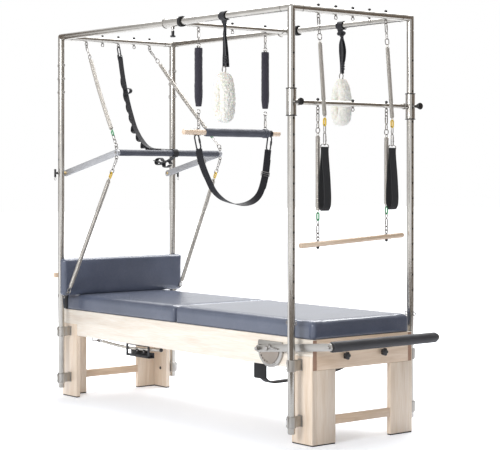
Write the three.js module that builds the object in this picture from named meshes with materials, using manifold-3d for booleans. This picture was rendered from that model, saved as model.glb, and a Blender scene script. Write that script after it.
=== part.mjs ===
// Pilates trapeze table: a maple bed with a two-part mattress under a stainless tube frame.
// Millimetres, +Z up, +X towards the foot end, -Y is the near side.

import * as THREE from 'three'
import { mergeVertices } from 'three/addons/utils/BufferGeometryUtils.js'
import Module from 'manifold-3d'

const wasm = await Module()
wasm.setup()

// Driving dimensions of the tube frame
const POST_SPACING_X = 2134
const POST_SPACING_Y = 832
const RAIL_HEIGHT = 2180
const TUBE_RADIUS = 19
const TUBE_SIDES = 12
const RING_SIDES = 12
const CORNER_ARM = 67
const CORNER_SIDES = 8
const POST_BOTTOM = 60
const GAP = 0.3
const OVERRUN = 5
const MERGE_DISTANCE = 0.001

// Driving dimensions of the bed
const BED_WIDTH = 690
const BED_TOP = 528
const HEAD_OVERHANG = 92
const FOOT_OVERHANG = 80
const RAIL_DEPTH = 153
const BOARD = 27
const FOOT_PAD = { height: 6, radius: 20, sides: 8 }
const LEG = { along: 156, across: 156, lapHeight: 68, lapProud: 3, lapThickness: 12 }
const STRETCHER = { bottom: 98, height: 44 }
const DECK_THICKNESS = 18
const MATTRESS = { thickness: 92, crown: 5, drawIn: 6, round: 16, seam: -20, seamGap: 2 }

// Shared hardware
const EYE = { radius: 9, wire: 3, drop: 3, capRadius: 8.5, capHeight: 12, sides: 4 }
const LINK = { wire: 2.4, width: 17, length: 46, ring: 30, ringLength: 30, colourLength: 36, longLength: 56 }
const SPRING = { radius: 11, wire: 1.7, curls: 4 }
const WIRE_SIDES = 3
const WELD = 1
const HOOK_PLAY = 0.5
const HOLE = { radius: 4.6, depth: 9, pitch: 81, sides: 5 }

const X = new THREE.Vector3(1, 0, 0)
const Y = new THREE.Vector3(0, 1, 0)
const Z = new THREE.Vector3(0, 0, 1)
const DOWN = new THREE.Vector3(0, 0, -1)
const point = (x, y, z) => new THREE.Vector3(x, y, z)
const along = (from, direction, distance) => from.clone().addScaledVector(direction, distance)

// Position-only geometry with shared vertices and outward faces
function clean(geometry) {
  const bare = new THREE.BufferGeometry()
  bare.setAttribute('position', geometry.getAttribute('position').clone())
  if (geometry.index) bare.setIndex(geometry.index.clone())
  const merged = mergeVertices(bare, MERGE_DISTANCE)
  const index = merged.index.array
  const position = merged.getAttribute('position')
  const corner = [0, 1, 2].map(() => new THREE.Vector3())
  const kept = []
  let volume = 0
  for (let i = 0; i < index.length; i += 3) {
    const [a, b, c] = [index[i], index[i + 1], index[i + 2]]
    if (a === b || b === c || c === a) continue
    kept.push(a, b, c)
    corner.forEach((v, k) => v.fromBufferAttribute(position, index[i + k]))
    volume += corner[0].dot(corner[1].cross(corner[2]))
  }
  if (volume < 0) kept.reverse()
  merged.setIndex(kept)
  return merged
}

function toSolid(geometry) {
  const ready = clean(geometry)
  return new wasm.Manifold(new wasm.Mesh({
    numProp: 3,
    vertProperties: new Float32Array(ready.getAttribute('position').array),
    triVerts: new Uint32Array(ready.index.array),
  }))
}

function fromSolid(solid) {
  const mesh = solid.getMesh()
  const geometry = new THREE.BufferGeometry()
  geometry.setAttribute('position', new THREE.BufferAttribute(mesh.vertProperties, 3))
  geometry.setIndex(new THREE.BufferAttribute(mesh.triVerts, 1))
  return geometry
}

const join = (...parts) => fromSolid(parts.map(toSolid).reduce((a, b) => a.add(b)))
const cut = (body, ...tools) => fromSolid(tools.map(toSolid).reduce((a, b) => a.subtract(b), toSolid(body)))

// A block between two opposite corners
function block(x0, x1, y0, y1, z0, z1) {
  const geometry = new THREE.BoxGeometry(Math.abs(x1 - x0), Math.abs(y1 - y0), Math.abs(z1 - z0))
  return geometry.translate((x0 + x1) / 2, (y0 + y1) / 2, (z0 + z1) / 2)
}

// A profile of [radius, distance] pairs turned about the line from a point along a direction
function turned(profile, from, direction, sides = TUBE_SIDES) {
  const outline = profile.map(([radius, distance]) => new THREE.Vector2(radius, distance))
  const geometry = new THREE.LatheGeometry(outline, sides)
  geometry.applyQuaternion(new THREE.Quaternion().setFromUnitVectors(Y, direction))
  return geometry.translate(from.x, from.y, from.z)
}

const rod = (from, direction, length, radius, sides) =>
  turned([[0, 0], [radius, 0], [radius, length], [0, length]], from, direction, sides)

const pipe = (from, direction, length, outer, inner, sides) =>
  turned([[inner, 0], [outer, 0], [outer, length], [inner, length], [inner, 0]], from, direction, sides)

// A flat outline in the plane of two directions, extruded along their cross product
function plate(shape, origin, u, v, thickness, curveSegments = 6) {
  const geometry = new THREE.ExtrudeGeometry(shape, { depth: thickness, bevelEnabled: false, curveSegments })
  const basis = new THREE.Matrix4().makeBasis(u, v, new THREE.Vector3().crossVectors(u, v))
  return geometry.applyMatrix4(basis.setPosition(origin))
}

const shapeOf = (points) => new THREE.Shape(points.map(([a, b]) => new THREE.Vector2(a, b)))

// The outline of a band of even thickness along a smooth route in the plane
function band(route, thickness, steps) {
  const curve = new THREE.SplineCurve(route.map(([a, b]) => new THREE.Vector2(a, b)))
  const left = []
  const right = []
  for (let i = 0; i <= steps; i++) {
    const middle = curve.getPointAt(i / steps)
    const heading = curve.getTangentAt(i / steps)
    const side = new THREE.Vector2(-heading.y, heading.x).multiplyScalar(thickness / 2)
    left.push(middle.clone().add(side))
    right.unshift(middle.clone().sub(side))
  }
  return new THREE.Shape([...left, ...right])
}

// A long ring of round wire; top is the centre of its wire at the upper end
function link(top, down, side, length, width, wire, segments = 6) {
  const geometry = new THREE.TorusGeometry(width / 2, wire, WIRE_SIDES, segments)
  geometry.rotateZ(Math.PI / segments)
  const position = geometry.getAttribute('position')
  const stretch = (length - width) / 2
  for (let i = 0; i < position.count; i++) {
    position.setY(i, position.getY(i) + Math.sign(position.getY(i)) * stretch)
  }
  const basis = new THREE.Matrix4().makeBasis(side, down, new THREE.Vector3().crossVectors(side, down))
  return geometry.applyMatrix4(basis.setPosition(along(top, down, length / 2)))
}

// A ring with a flat top and bottom; height and width are between the centres of its wires
function squareRing(top, down, side, height, width, wire) {
  const diagonal = width * Math.SQRT2
  const lift = (diagonal - width) / 2
  return link(along(top, down, -lift), down, side, height + 2 * lift, diagonal, wire, 4)
}

// A tension spring: one unbroken helical tube whose straight ends lie on its axis
const COIL_STEPS = 8
const COIL_SIDES = 5
let leastCoilGap = Infinity

function coil(from, to, { radius, wire, curls }) {
  const length = from.distanceTo(to)
  const axis = to.clone().sub(from).normalize()
  const u = new THREE.Vector3().crossVectors(axis, Math.abs(axis.x) > 0.9 ? Y : X).normalize()
  const v = new THREE.Vector3().crossVectors(axis, u)
  const lead = 2 * wire
  const steps = curls * COIL_STEPS
  const centres = [[0, 0, 0], [0, 0, lead]]
  for (let i = 0; i <= steps; i++) {
    const fromEnd = Math.min(i, steps - i) / (COIL_STEPS / 2)
    const reach = radius - wire
    const share = Math.min(1, 0.25 + 0.75 * fromEnd)
    const climb = 2 * lead + (i / steps) * (length - 4 * lead)
    centres.push([reach * share, (i / COIL_STEPS) * 2 * Math.PI, climb])
  }
  const last = (steps / COIL_STEPS) * 2 * Math.PI
  centres.push([0, last, length - lead], [0, last, length])
  const spots = centres.map(([r, angle, d]) =>
    along(along(along(from, axis, d), u, r * Math.cos(angle)), v, r * Math.sin(angle)))
  measureCoil(spots.slice(2, -2), wire)
  const vertices = []
  const faces = []
  spots.forEach((spot, i) => {
    const before = spots[Math.max(0, i - 1)]
    const after = spots[Math.min(spots.length - 1, i + 1)]
    const tangent = i < 2 || i > spots.length - 3 ? axis.clone() : after.clone().sub(before).normalize()
    const outward = along(point(0, 0, 0), u, Math.cos(centres[i][1]))
    outward.addScaledVector(v, Math.sin(centres[i][1]))
    const across = new THREE.Vector3().crossVectors(tangent, outward).normalize()
    const normal = new THREE.Vector3().crossVectors(across, tangent)
    for (let k = 0; k < COIL_SIDES; k++) {
      const turn = (k / COIL_SIDES) * 2 * Math.PI
      const place = along(along(spot, normal, wire * Math.cos(turn)), across, wire * Math.sin(turn))
      vertices.push(place.x, place.y, place.z)
    }
  })
  for (let i = 0; i < spots.length - 1; i++) {
    for (let k = 0; k < COIL_SIDES; k++) {
      const next = (k + 1) % COIL_SIDES
      const [a, b] = [i * COIL_SIDES + k, i * COIL_SIDES + next]
      faces.push(a, b, b + COIL_SIDES, a, b + COIL_SIDES, a + COIL_SIDES)
    }
  }
  const end = (spots.length - 1) * COIL_SIDES
  for (let k = 1; k < COIL_SIDES - 1; k++) {
    faces.push(0, k + 1, k, end, end + k, end + k + 1)
  }
  const geometry = new THREE.BufferGeometry()
  geometry.setAttribute('position', new THREE.Float32BufferAttribute(vertices, 3))
  geometry.setIndex(faces)
  return geometry
}

// The least distance between the surfaces of turns that aren't neighbours along the wire
function measureCoil(spots, wire) {
  for (let i = 0; i < spots.length; i++) {
    for (let j = i + COIL_STEPS - 1; j < spots.length; j++) {
      leastCoilGap = Math.min(leastCoilGap, spots[i].distanceTo(spots[j]) - 2 * wire)
    }
  }
}

// Links, a spring and more links between two eyes; tangents run along the eyes' wires.
// With a knee the lowest link runs towards that point first and the rest is straight from there.
function chain({ from, to, fromTangent, toTangent, upper, lower, spring, knee, play = HOOK_PLAY }) {
  const parts = []
  const hookOn = (at, tangent, way, item) => {
    const top = along(at, way, -(EYE.wire + item.wire + GAP + play))
    const across = new THREE.Vector3().crossVectors(way, tangent).normalize()
    parts.push(link(top, way, across, item.length, item.width, item.wire))
    return { end: along(top, way, item.length), across }
  }
  const carryOn = ({ end, across }, way, items) => {
    for (const item of items) {
      across = new THREE.Vector3().crossVectors(way, across).normalize()
      parts.push(link(end, way, across, item.length, item.width, item.wire))
      end = along(end, way, item.length)
    }
    return end
  }
  const straight = to.clone().sub(from).normalize()
  const firstWay = (knee || from).clone().sub(to).normalize()
  const lowest = hookOn(to, toTangent, firstWay, lower[0])
  const down = knee ? lowest.end.clone().sub(from).normalize() : straight
  const highest = hookOn(from, fromTangent, down, upper[0])
  const springTop = carryOn(highest, down, upper.slice(1))
  const springBottom = carryOn(lowest, down.clone().negate(), lower.slice(1))
  parts.push(coil(springTop, springBottom, spring))
  return parts
}

const snapHook = { length: LINK.length, width: LINK.width, wire: LINK.wire }
const shoeHook = { length: LINK.longLength, width: LINK.width, wire: LINK.wire }
const smallRing = { length: LINK.ringLength, width: LINK.ring, wire: LINK.wire }
const colourLink = { length: LINK.colourLength, width: LINK.width, wire: LINK.wire + 0.6 * GAP }

// An eye under a tube, held by a nut below and a domed cap nut above the tube
function eyebolt(centre, tubeRadius, down, tangent) {
  const { radius, wire, drop, capRadius, capHeight, sides } = EYE
  const ringTop = along(centre, down, tubeRadius + drop + wire - WELD)
  const ring = link(ringTop, down, tangent, 2 * radius, 2 * radius, wire)
  const up = down.clone().negate()
  const low = tubeRadius + drop
  const shank = turned([[0, -low], [capRadius, -low], [capRadius, tubeRadius + capHeight / 2],
    [capRadius / 2, tubeRadius + capHeight], [0, tubeRadius + capHeight]], centre, up, sides)
  return [ring, shank]
}

const eyeBottom = (centre, tubeRadius, down) =>
  along(centre, down, tubeRadius + EYE.drop + EYE.wire - WELD + 2 * EYE.radius)

const table = new THREE.Group()

function add(name, colour, roughness, metalness, ...parts) {
  const solids = parts.flat(Infinity)
  const geometry = clean(solids.length > 1 ? join(...solids) : solids[0])
  geometry.computeVertexNormals()
  const material = new THREE.MeshStandardMaterial({ color: colour, roughness, metalness, flatShading: true })
  const mesh = new THREE.Mesh(geometry, material)
  mesh.name = name
  table.add(mesh)
}

const maple = (name, ...parts) => add(name, '#e9d5b9', 0.5, 0, ...parts)
const steel = (name, ...parts) => add(name, '#c3c3c2', 0.3, 1, ...parts)
const chrome = (name, ...parts) => add(name, '#d4d4d6', 0.12, 1, ...parts)
const vinyl = (name, ...parts) => add(name, '#6d7286', 0.45, 0, ...parts)
const foam = (name, ...parts) => add(name, '#4d525e', 0.7, 0, ...parts)
const plastic = (name, ...parts) => add(name, '#202124', 0.45, 0, ...parts)
const webbing = (name, ...parts) => add(name, '#26262b', 0.9, 0, ...parts)
const fleece = (name, ...parts) => add(name, '#eeece6', 1, 0, ...parts)

const postX = POST_SPACING_X / 2
const postY = POST_SPACING_Y / 2
const headEnd = -postX - HEAD_OVERHANG
const footEnd = postX + FOOT_OVERHANG
const bedHalf = BED_WIDTH / 2
const railBottom = BED_TOP - RAIL_DEPTH
const railInner = bedHalf - BOARD
const both = [-1, 1]

// Maple bed: side rails rabbeted over the legs, end aprons, L-shaped legs, stretchers and deck
function sideRail(side) {
  const lapDepth = LEG.lapThickness + GAP
  const body = block(headEnd, footEnd, side * railInner, side * bedHalf, railBottom, BED_TOP)
  const rabbets = [[headEnd - OVERRUN, headEnd + LEG.along + GAP], [footEnd - LEG.along - GAP, footEnd + OVERRUN]]
  const pivotSocket = rod(point(FOOTBAR.pivotX, side * (bedHalf + OVERRUN), FOOTBAR.pivotZ),
    point(0, -side, 0), OVERRUN + BOARD / 2, FOOTBAR.boltRadius + 2 * GAP, FOOTBAR.boltSides)
  return cut(body, pivotSocket, ...rabbets.map(([x0, x1]) =>
    block(x0, x1, side * (bedHalf - lapDepth), side * (bedHalf + OVERRUN),
      railBottom - OVERRUN, railBottom + LEG.lapHeight + GAP)))
}

function leg(end, side) {
  const outerX = end > 0 ? footEnd : headEnd
  const outerY = bedHalf + LEG.lapProud
  const at = (x, y) => [outerX - end * x, side * (outerY - y)]
  const thick = BOARD
  const outline = [at(0, 0), at(LEG.along, 0), at(LEG.along, thick), at(thick, thick),
    at(thick, LEG.across), at(0, LEG.across)]
  const under = plate(shapeOf(outline), point(0, 0, FOOT_PAD.height), X, Y, railBottom - FOOT_PAD.height - GAP)
  const lap = block(outerX, outerX - end * LEG.along, side * outerY,
    side * (outerY - LEG.lapProud - LEG.lapThickness), railBottom - BOARD, railBottom + LEG.lapHeight)
  const padAt = (x, y) => rod(point(...at(x, y), 0), Z, FOOT_PAD.height + WELD, FOOT_PAD.radius, FOOT_PAD.sides)
  const inset = FOOT_PAD.radius + GAP
  return [under, lap, padAt(inset, LEG.across - inset), padAt(LEG.along - inset, inset)]
}

const endBoard = (end, halfWidth, z0, z1) => {
  const outer = end > 0 ? footEnd : headEnd
  return block(outer, outer - end * BOARD, -halfWidth, halfWidth, z0, z1)
}

const FOOTBAR = {
  pivotX: 825, pivotZ: 463, reach: 479, tail: 70, angle: 5.5 * Math.PI / 180,
  armHeight: 38, armThickness: 10, armInner: 365, boltRadius: 7, boltSides: 8, boltHead: 12, headHeight: 4,
  gripRadius: 27, coreRadius: 15, plateRadius: 98, plateShift: 5, plateTop: 37, plateThickness: 12,
  hubRadius: 81, hubHeight: 4, holes: 6, holeStep: Math.PI / 12, pinRadius: 4, pinKnob: 9, pinTravel: 6,
}

// A bent screw eye under the near rail holds the spring that is stored beneath the bed
const STORED = { z: 356, x0: -852, x1: -197, y: 300, radius: 8, ball: 11, curls: 4 }
function storedSpringEye() {
  const rootY = -bedHalf + BOARD / 2
  const eyeEdge = point(STORED.x0, -STORED.y - EYE.radius, STORED.z)
  return join(rod(point(STORED.x0, rootY, STORED.z - EYE.wire), Z, railBottom - STORED.z + EYE.wire + WELD, EYE.wire, 6),
    rod(point(STORED.x0, rootY, STORED.z), Y, eyeEdge.y - rootY, EYE.wire, 6),
    link(eyeEdge, Y, X, 2 * EYE.radius, 2 * EYE.radius, EYE.wire))
}

const sideName = (side) => (side < 0 ? 'near' : 'far')
const endName = (end) => (end < 0 ? 'head' : 'foot')
const legInner = bedHalf + LEG.lapProud - LEG.across
for (const side of both) {
  maple(`side_rail_${sideName(side)}`, sideRail(side), side < 0 ? storedSpringEye() : [])
}
for (const end of both) {
  maple(`${endName(end)}_apron`, endBoard(end, railInner - GAP, railBottom + GAP, BED_TOP))
  maple(`${endName(end)}_stretcher`,
    endBoard(end, legInner - GAP, STRETCHER.bottom, STRETCHER.bottom + STRETCHER.height))
}
for (const end of both) {
  for (const side of both) maple(`leg_${endName(end)}_${sideName(side)}`, leg(end, side))
}
maple('bed_deck', block(headEnd + BOARD + GAP, footEnd - BOARD - GAP, -railInner + GAP, railInner - GAP,
  BED_TOP - DECK_THICKNESS, BED_TOP))

// Upholstery: a rounded box with a crowned top and sides that pull in between the corners
function cushion([length, width, thickness], [nx, ny, nz], round, crown, drawIn) {
  const geometry = new THREE.BoxGeometry(2, 2, 2, nx, ny, nz)
  const position = geometry.getAttribute('position')
  const half = [length / 2, width / 2, thickness / 2]
  const counts = [nx, ny, nz]
  for (let i = 0; i < position.count; i++) {
    const unit = [position.getX(i), position.getY(i), position.getZ(i)]
    const spread = unit.map((value, k) => {
      const step = Math.round((value + 1) / 2 * counts[k])
      if (step === 0 || step === counts[k]) return value * half[k]
      return (2 * (step - 1) / (counts[k] - 2) - 1) * (half[k] - round)
    })
    const inner = spread.map((value, k) => THREE.MathUtils.clamp(value, round - half[k], half[k] - round))
    const out = point(...spread.map((value, k) => value - inner[k]))
    if (out.lengthSq() > 0) out.setLength(round)
    const [x, y, z] = inner.map((value, k) => value + out.getComponent(k))
    const [a, b, c] = [x / half[0], y / half[1], z / half[2]]
    const rise = z > 0 ? crown * (1 - a ** 4) * (1 - b ** 2) : 0
    position.setXYZ(i, x - Math.sign(x) * drawIn * (1 - b * b) * Math.abs(a) ** 8 * (1 - Math.abs(c)),
      y - Math.sign(y) * drawIn * (1 - a * a) * Math.abs(b) ** 8 * (1 - Math.abs(c)), z + rise)
  }
  return geometry
}

const mattressTop = BED_TOP + GAP + MATTRESS.thickness
const sections = [['mattress_head', headEnd, MATTRESS.seam - MATTRESS.seamGap / 2],
  ['mattress_foot', MATTRESS.seam + MATTRESS.seamGap / 2, footEnd]]
for (const [name, x0, x1] of sections) {
  const size = [x1 - x0, BED_WIDTH, MATTRESS.thickness]
  const pad = cushion(size, [6, 5, 3], MATTRESS.round, MATTRESS.crown, MATTRESS.drawIn)
  vinyl(name, pad.translate((x0 + x1) / 2, 0, BED_TOP + GAP + MATTRESS.thickness / 2))
}

const BACK_PAD = {
  width: 894, height: 216, thickness: 48, clearance: 12, round: 14, crown: 3, drawIn: 3,
  battenHeight: 28, battenThickness: 22, boltY: 376, boltRadius: 5,
}
const padBottom = mattressTop + MATTRESS.crown + BACK_PAD.clearance - MATTRESS.crown
const padBack = -postX + TUBE_RADIUS + GAP
const padMiddleZ = padBottom + BACK_PAD.height / 2
const backPad = cushion([BACK_PAD.height, BACK_PAD.width, BACK_PAD.thickness], [3, 6, 3],
  BACK_PAD.round, BACK_PAD.crown, BACK_PAD.drawIn)
backPad.rotateY(Math.PI / 2)
vinyl('back_pad', backPad.translate(padBack + BACK_PAD.thickness / 2, 0, padMiddleZ))
const battenFront = -postX - TUBE_RADIUS - GAP
const battens = both.map((side) => rod(point(battenFront - BACK_PAD.battenThickness / 2,
  side * BACK_PAD.boltY, padMiddleZ), X, padBack - GAP - battenFront + BACK_PAD.battenThickness / 2,
BACK_PAD.boltRadius, 8))
maple('back_pad_batten', join(block(battenFront - BACK_PAD.battenThickness, battenFront,
  -BACK_PAD.width / 2, BACK_PAD.width / 2, padMiddleZ - BACK_PAD.battenHeight / 2,
  padMiddleZ + BACK_PAD.battenHeight / 2), ...battens))

// Tube frame: four posts, four top rails and the corner fittings
const TOWER = {
  height: 1710, holesUp: 3, holesDown: 12, barRadius: 13.5, sleeveRadius: 25, sleeveLength: 130,
  ringRadius: 28, ringThickness: 5, eyeY: 240,
}
const PUSH = {
  pivotZ: 1358, reach: 553, angle: 12.3 * Math.PI / 180, armInner: 376, armThickness: 8, armHeight: 38,
  tail: 24, barRadius: 12.5, gripRadius: 18.5, pinRadius: 5, pinSides: 8, handleReach: 62,
  bushRadius: 15, spareHoles: 3, kneeReach: 40, kneeAngle: Math.PI / 6,
}
const END_EYES = { count: 5, pitch: 118 }
const POST_EYES = { drop: 171, count: 3, low: 613 }

const postHoles = []
for (let k = -TOWER.holesDown; k <= TOWER.holesUp; k++) postHoles.push(TOWER.height + k * HOLE.pitch)
const postTube = (end, side) => rod(point(end * postX, side * postY, POST_BOTTOM), Z,
  RAIL_HEIGHT - CORNER_ARM / 2 - POST_BOTTOM, TUBE_RADIUS)

function corner(end, side) {
  const centre = point(end * postX, side * postY, RAIL_HEIGHT)
  const ways = [point(-end, 0, 0), point(0, -side, 0)]
  const upright = rod(along(centre, DOWN, -TUBE_RADIUS), DOWN, CORNER_ARM + TUBE_RADIUS,
    TUBE_RADIUS + GAP, CORNER_SIDES)
  return [upright, ...ways.map((way) => rod(centre, way, CORNER_ARM, TUBE_RADIUS + GAP, CORNER_SIDES))]
}

// Eyes on both sides of a post
const postEyes = (end, side, heights) => heights.flatMap((z) => both.map((way) => {
  const direction = point(way, 0, 0)
  const ringTop = along(point(end * postX, side * postY, z), direction, TUBE_RADIUS + EYE.wire / 2)
  return link(ringTop, direction, Z, 2 * EYE.radius, 2 * EYE.radius, EYE.wire)
}))
const headEyeHeights = [POST_EYES.low]
for (let k = 0; k < POST_EYES.count; k++) headEyeHeights.push(RAIL_HEIGHT - POST_EYES.drop - k * HOLE.pitch)

// Clamps that hold each post to its leg: a plate on the leg and a block round the tube
const CLAMP = { half: 24, plateHalf: 28, plateThickness: 4, wall: 7, height: 58, upperZ: 400, lowerZ: 120 }
function clamp(end, side, z) {
  const legFace = bedHalf + LEG.lapProud + GAP
  const x = end * postX
  const level = [z - CLAMP.height / 2, z + CLAMP.height / 2]
  return [
    block(x - CLAMP.half, x + CLAMP.half, side * (legFace + CLAMP.plateThickness / 2),
      side * (postY + CLAMP.wall), ...level),
    block(x - CLAMP.plateHalf, x + CLAMP.plateHalf, side * legFace,
      side * (legFace + CLAMP.plateThickness), ...level),
    rod(point(x, side * postY, level[0]), Z, CLAMP.height, TUBE_RADIUS + CLAMP.wall, CORNER_SIDES),
  ]
}

function post(end, side, heights) {
  const clamps = [CLAMP.upperZ, CLAMP.lowerZ].flatMap((z) => clamp(end, side, z))
  return join(postTube(end, side), ...corner(end, side), ...postEyes(end, side, heights), ...clamps)
}

for (const side of both) {
  steel(`post_foot_${sideName(side)}`, cut(post(1, side, [POST_EYES.low]), ...postHoles.map((z) =>
    rod(point(postX + TUBE_RADIUS - HOLE.depth, side * postY, z), X, HOLE.depth + OVERRUN, HOLE.radius,
      HOLE.sides))))
  const pivotBore = rod(point(-postX, side * (postY - TUBE_RADIUS - OVERRUN), PUSH.pivotZ),
    point(0, side, 0), 2 * (TUBE_RADIUS + OVERRUN), PUSH.pinRadius + 2 * GAP, PUSH.pinSides)
  const spares = []
  for (let k = 1; k <= PUSH.spareHoles; k++) {
    spares.push(rod(point(-postX, side * (postY + TUBE_RADIUS - HOLE.depth), PUSH.pivotZ + k * HOLE.pitch),
      point(0, side, 0), HOLE.depth + OVERRUN, HOLE.radius, HOLE.sides))
  }
  steel(`post_head_${sideName(side)}`, cut(post(-1, side, headEyeHeights), pivotBore, ...spares))
}

const eyeYs = []
for (let k = 0; k < END_EYES.count; k++) eyeYs.push((k - (END_EYES.count - 1) / 2) * END_EYES.pitch)
for (const side of both) {
  steel(`top_rail_${sideName(side)}`, rod(point(-postX + CORNER_ARM + GAP, side * postY, RAIL_HEIGHT), X,
    POST_SPACING_X - 2 * (CORNER_ARM + GAP), TUBE_RADIUS))
}
for (const end of both) {
  const tube = rod(point(end * postX, -postY + CORNER_ARM + GAP, RAIL_HEIGHT), Y,
    POST_SPACING_Y - 2 * (CORNER_ARM + GAP), TUBE_RADIUS)
  steel(`top_rail_${endName(end)}`, tube, eyeYs.map((y) =>
    eyebolt(point(end * postX, y, RAIL_HEIGHT), TUBE_RADIUS, DOWN, Y)))
}

// A pull knob on a plunger that runs through a collar on the sleeve; at rest its tip is just clear
// of the tube, and pushed in by its travel it enters one of the tube's holes
const KNOB = {
  pin: 3, travel: 6, collar: 9, collarLength: 12, neck: 9, head: 16, length: 32, sides: 7,
}
const knobShares = { neck: 0.45, head: 0.8 }
const collarTop = TOWER.sleeveRadius + KNOB.collarLength
const knobSeat = collarTop + KNOB.travel + GAP
const plunger = knobSeat - TUBE_RADIUS - 4 * GAP
const knob = (axisPoint, direction) => turned([[0, -plunger], [KNOB.pin, -plunger], [KNOB.pin, 0],
  [KNOB.neck, 0], [KNOB.neck, KNOB.length * knobShares.neck], [KNOB.head, KNOB.length * knobShares.head],
  [KNOB.head, KNOB.length], [0, KNOB.length + OVERRUN]], along(axisPoint, direction, knobSeat), direction,
KNOB.sides)

// A bar between two sleeves that slide on a pair of tubes; the sleeves run along an axis
function slider(centre, axis, barRadius, knobs) {
  const { sleeveRadius, sleeveLength, ringRadius, ringThickness } = TOWER
  const bore = TUBE_RADIUS + 3 * GAP
  const half = sleeveLength / 2 + ringThickness
  const tubes = both.map((side) => along(point(centre.x, side * postY, centre.z), axis, -half))
  const bar = rod(point(centre.x, -postY, centre.z), Y, POST_SPACING_Y, barRadius, RING_SIDES)
  const sleeves = tubes.map((spot) => turned([[0, 0], [ringRadius, 0], [ringRadius, ringThickness],
    [sleeveRadius, ringThickness], [sleeveRadius, 2 * half - ringThickness],
    [ringRadius, 2 * half - ringThickness], [ringRadius, 2 * half], [0, 2 * half]], spot, axis, RING_SIDES))
  const bores = tubes.map((spot) => rod(along(spot, axis, -OVERRUN), axis, 2 * (half + OVERRUN), bore,
    RING_SIDES))
  const eyes = SLIDER_EYES.map((y) => eyebolt(point(centre.x, y, centre.z), barRadius, DOWN, Y))
  const collars = knobs.map(([spot, way]) => rod(spot, way, collarTop, KNOB.collar, KNOB.sides))
  const pinBores = knobs.map(([spot, way]) => rod(spot, way, collarTop + OVERRUN, KNOB.pin + 2 * GAP, KNOB.sides))
  return cut(join(bar, ...sleeves, ...eyes.flat(), ...collars), ...bores, ...pinBores)
}
const SLIDER_EYES = [-TOWER.eyeY, 0, TOWER.eyeY]

const towerSpots = both.map((side) => point(postX, side * postY, TOWER.height))
steel('crossbar', slider(point(postX, 0, TOWER.height), Z, TOWER.barRadius,
  towerSpots.map((spot) => [spot, X])))
both.forEach((side, i) => plastic(`crossbar_knob_${sideName(side)}`, knob(towerSpots[i], X)))

const CARRIER = { x: 74, barRadius: 15 }
const carrierSpot = point(CARRIER.x, -postY, RAIL_HEIGHT)
steel('carrier', slider(point(CARRIER.x, 0, RAIL_HEIGHT), X, CARRIER.barRadius, [[carrierSpot, DOWN]]))
plastic('carrier_knob', knob(carrierSpot, DOWN))

// Trapeze: two covered springs, a wooden bar with a padded middle, and a webbing sling
const TRAPEZE = {
  barDrop: 596, barLength: 690, woodRadius: 16, gripRadius: 23, gripHalf: 200, ringHalf: 14, ringRadius: 20,
  coverRadius: 23, coverDrop: 128, coverLength: 326,
}
const trapezeZ = RAIL_HEIGHT - TRAPEZE.barDrop
const coverShares = { foot: 0.65, swell: 0.27, top: 0.92 }
const trapezeTop = eyeBottom(point(CARRIER.x, 0, RAIL_HEIGHT), CARRIER.barRadius, DOWN)
function trapezeSpring(side) {
  const at = (z) => point(CARRIER.x, side * TOWER.eyeY, z)
  const { coverRadius, coverLength, ringRadius, ringHalf, woodRadius } = TRAPEZE
  const coverTop = RAIL_HEIGHT - TRAPEZE.coverDrop
  const coverBottom = coverTop - coverLength
  const top = along(at(trapezeTop.z), DOWN, -(EYE.wire + LINK.wire + GAP + HOOK_PLAY))
  const sink = LINK.wire + WELD
  const cover = turned([[0, 0], [coverRadius * coverShares.foot, 0],
    [coverRadius, coverLength * coverShares.swell], [coverRadius * coverShares.top, coverLength],
    [0, coverLength]], at(coverBottom), Z, CORNER_SIDES)
  const eyeTop = trapezeZ + ringRadius + EYE.wire / 2 + 2 * EYE.radius
  return [cover,
    link(top, DOWN, X, top.z - coverTop + sink, LINK.width, LINK.wire),
    link(at(coverBottom + sink), DOWN, X, coverBottom + sink - eyeTop, LINK.width, LINK.wire),
    link(at(eyeTop), DOWN, Y, 2 * EYE.radius, 2 * EYE.radius, EYE.wire),
    pipe(point(CARRIER.x, side * TOWER.eyeY - ringHalf, trapezeZ), Y, 2 * ringHalf, ringRadius,
      woodRadius + 2 * GAP, RING_SIDES)]
}
for (const side of both) webbing(`trapeze_spring_${sideName(side)}`, trapezeSpring(side))
maple('trapeze_bar', rod(point(CARRIER.x, -TRAPEZE.barLength / 2, trapezeZ), Y, TRAPEZE.barLength,
  TRAPEZE.woodRadius, RING_SIDES))
foam('trapeze_grip', pipe(point(CARRIER.x, -TRAPEZE.gripHalf, trapezeZ), Y, 2 * TRAPEZE.gripHalf,
  TRAPEZE.gripRadius, TRAPEZE.woodRadius + GAP, RING_SIDES))

// The sling hangs from two loops round the bar, just outside the spring rings
const SLING = { width: 40, thickness: 3.5, drop: 409, loopY: 275, steps: 13 }
const slingShares = [[-1, 0], [-0.95, 0.28], [-0.86, 0.5], [-0.66, 0.72], [-0.4, 0.88], [0, 1],
  [0.4, 0.92], [0.66, 0.76], [0.86, 0.53], [0.95, 0.28], [1, 0]]
function slingParts() {
  const ringOuter = TRAPEZE.woodRadius + 3 * GAP + SLING.thickness
  const top = trapezeZ - ringOuter + SLING.thickness / 2
  const fall = SLING.drop - ringOuter
  const route = slingShares.map(([across, drop]) => [across * SLING.loopY, top - drop * fall])
  const strap = plate(band(route, SLING.thickness, SLING.steps), point(CARRIER.x - SLING.width / 2, 0, 0),
    Y, Z, SLING.width)
  const rings = both.map((side) => pipe(point(CARRIER.x, side * SLING.loopY - SLING.width / 2, trapezeZ),
    Y, SLING.width, ringOuter, TRAPEZE.woodRadius + 3 * GAP, RING_SIDES))
  return [strap, ...rings]
}
webbing('sling', slingParts())

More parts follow.
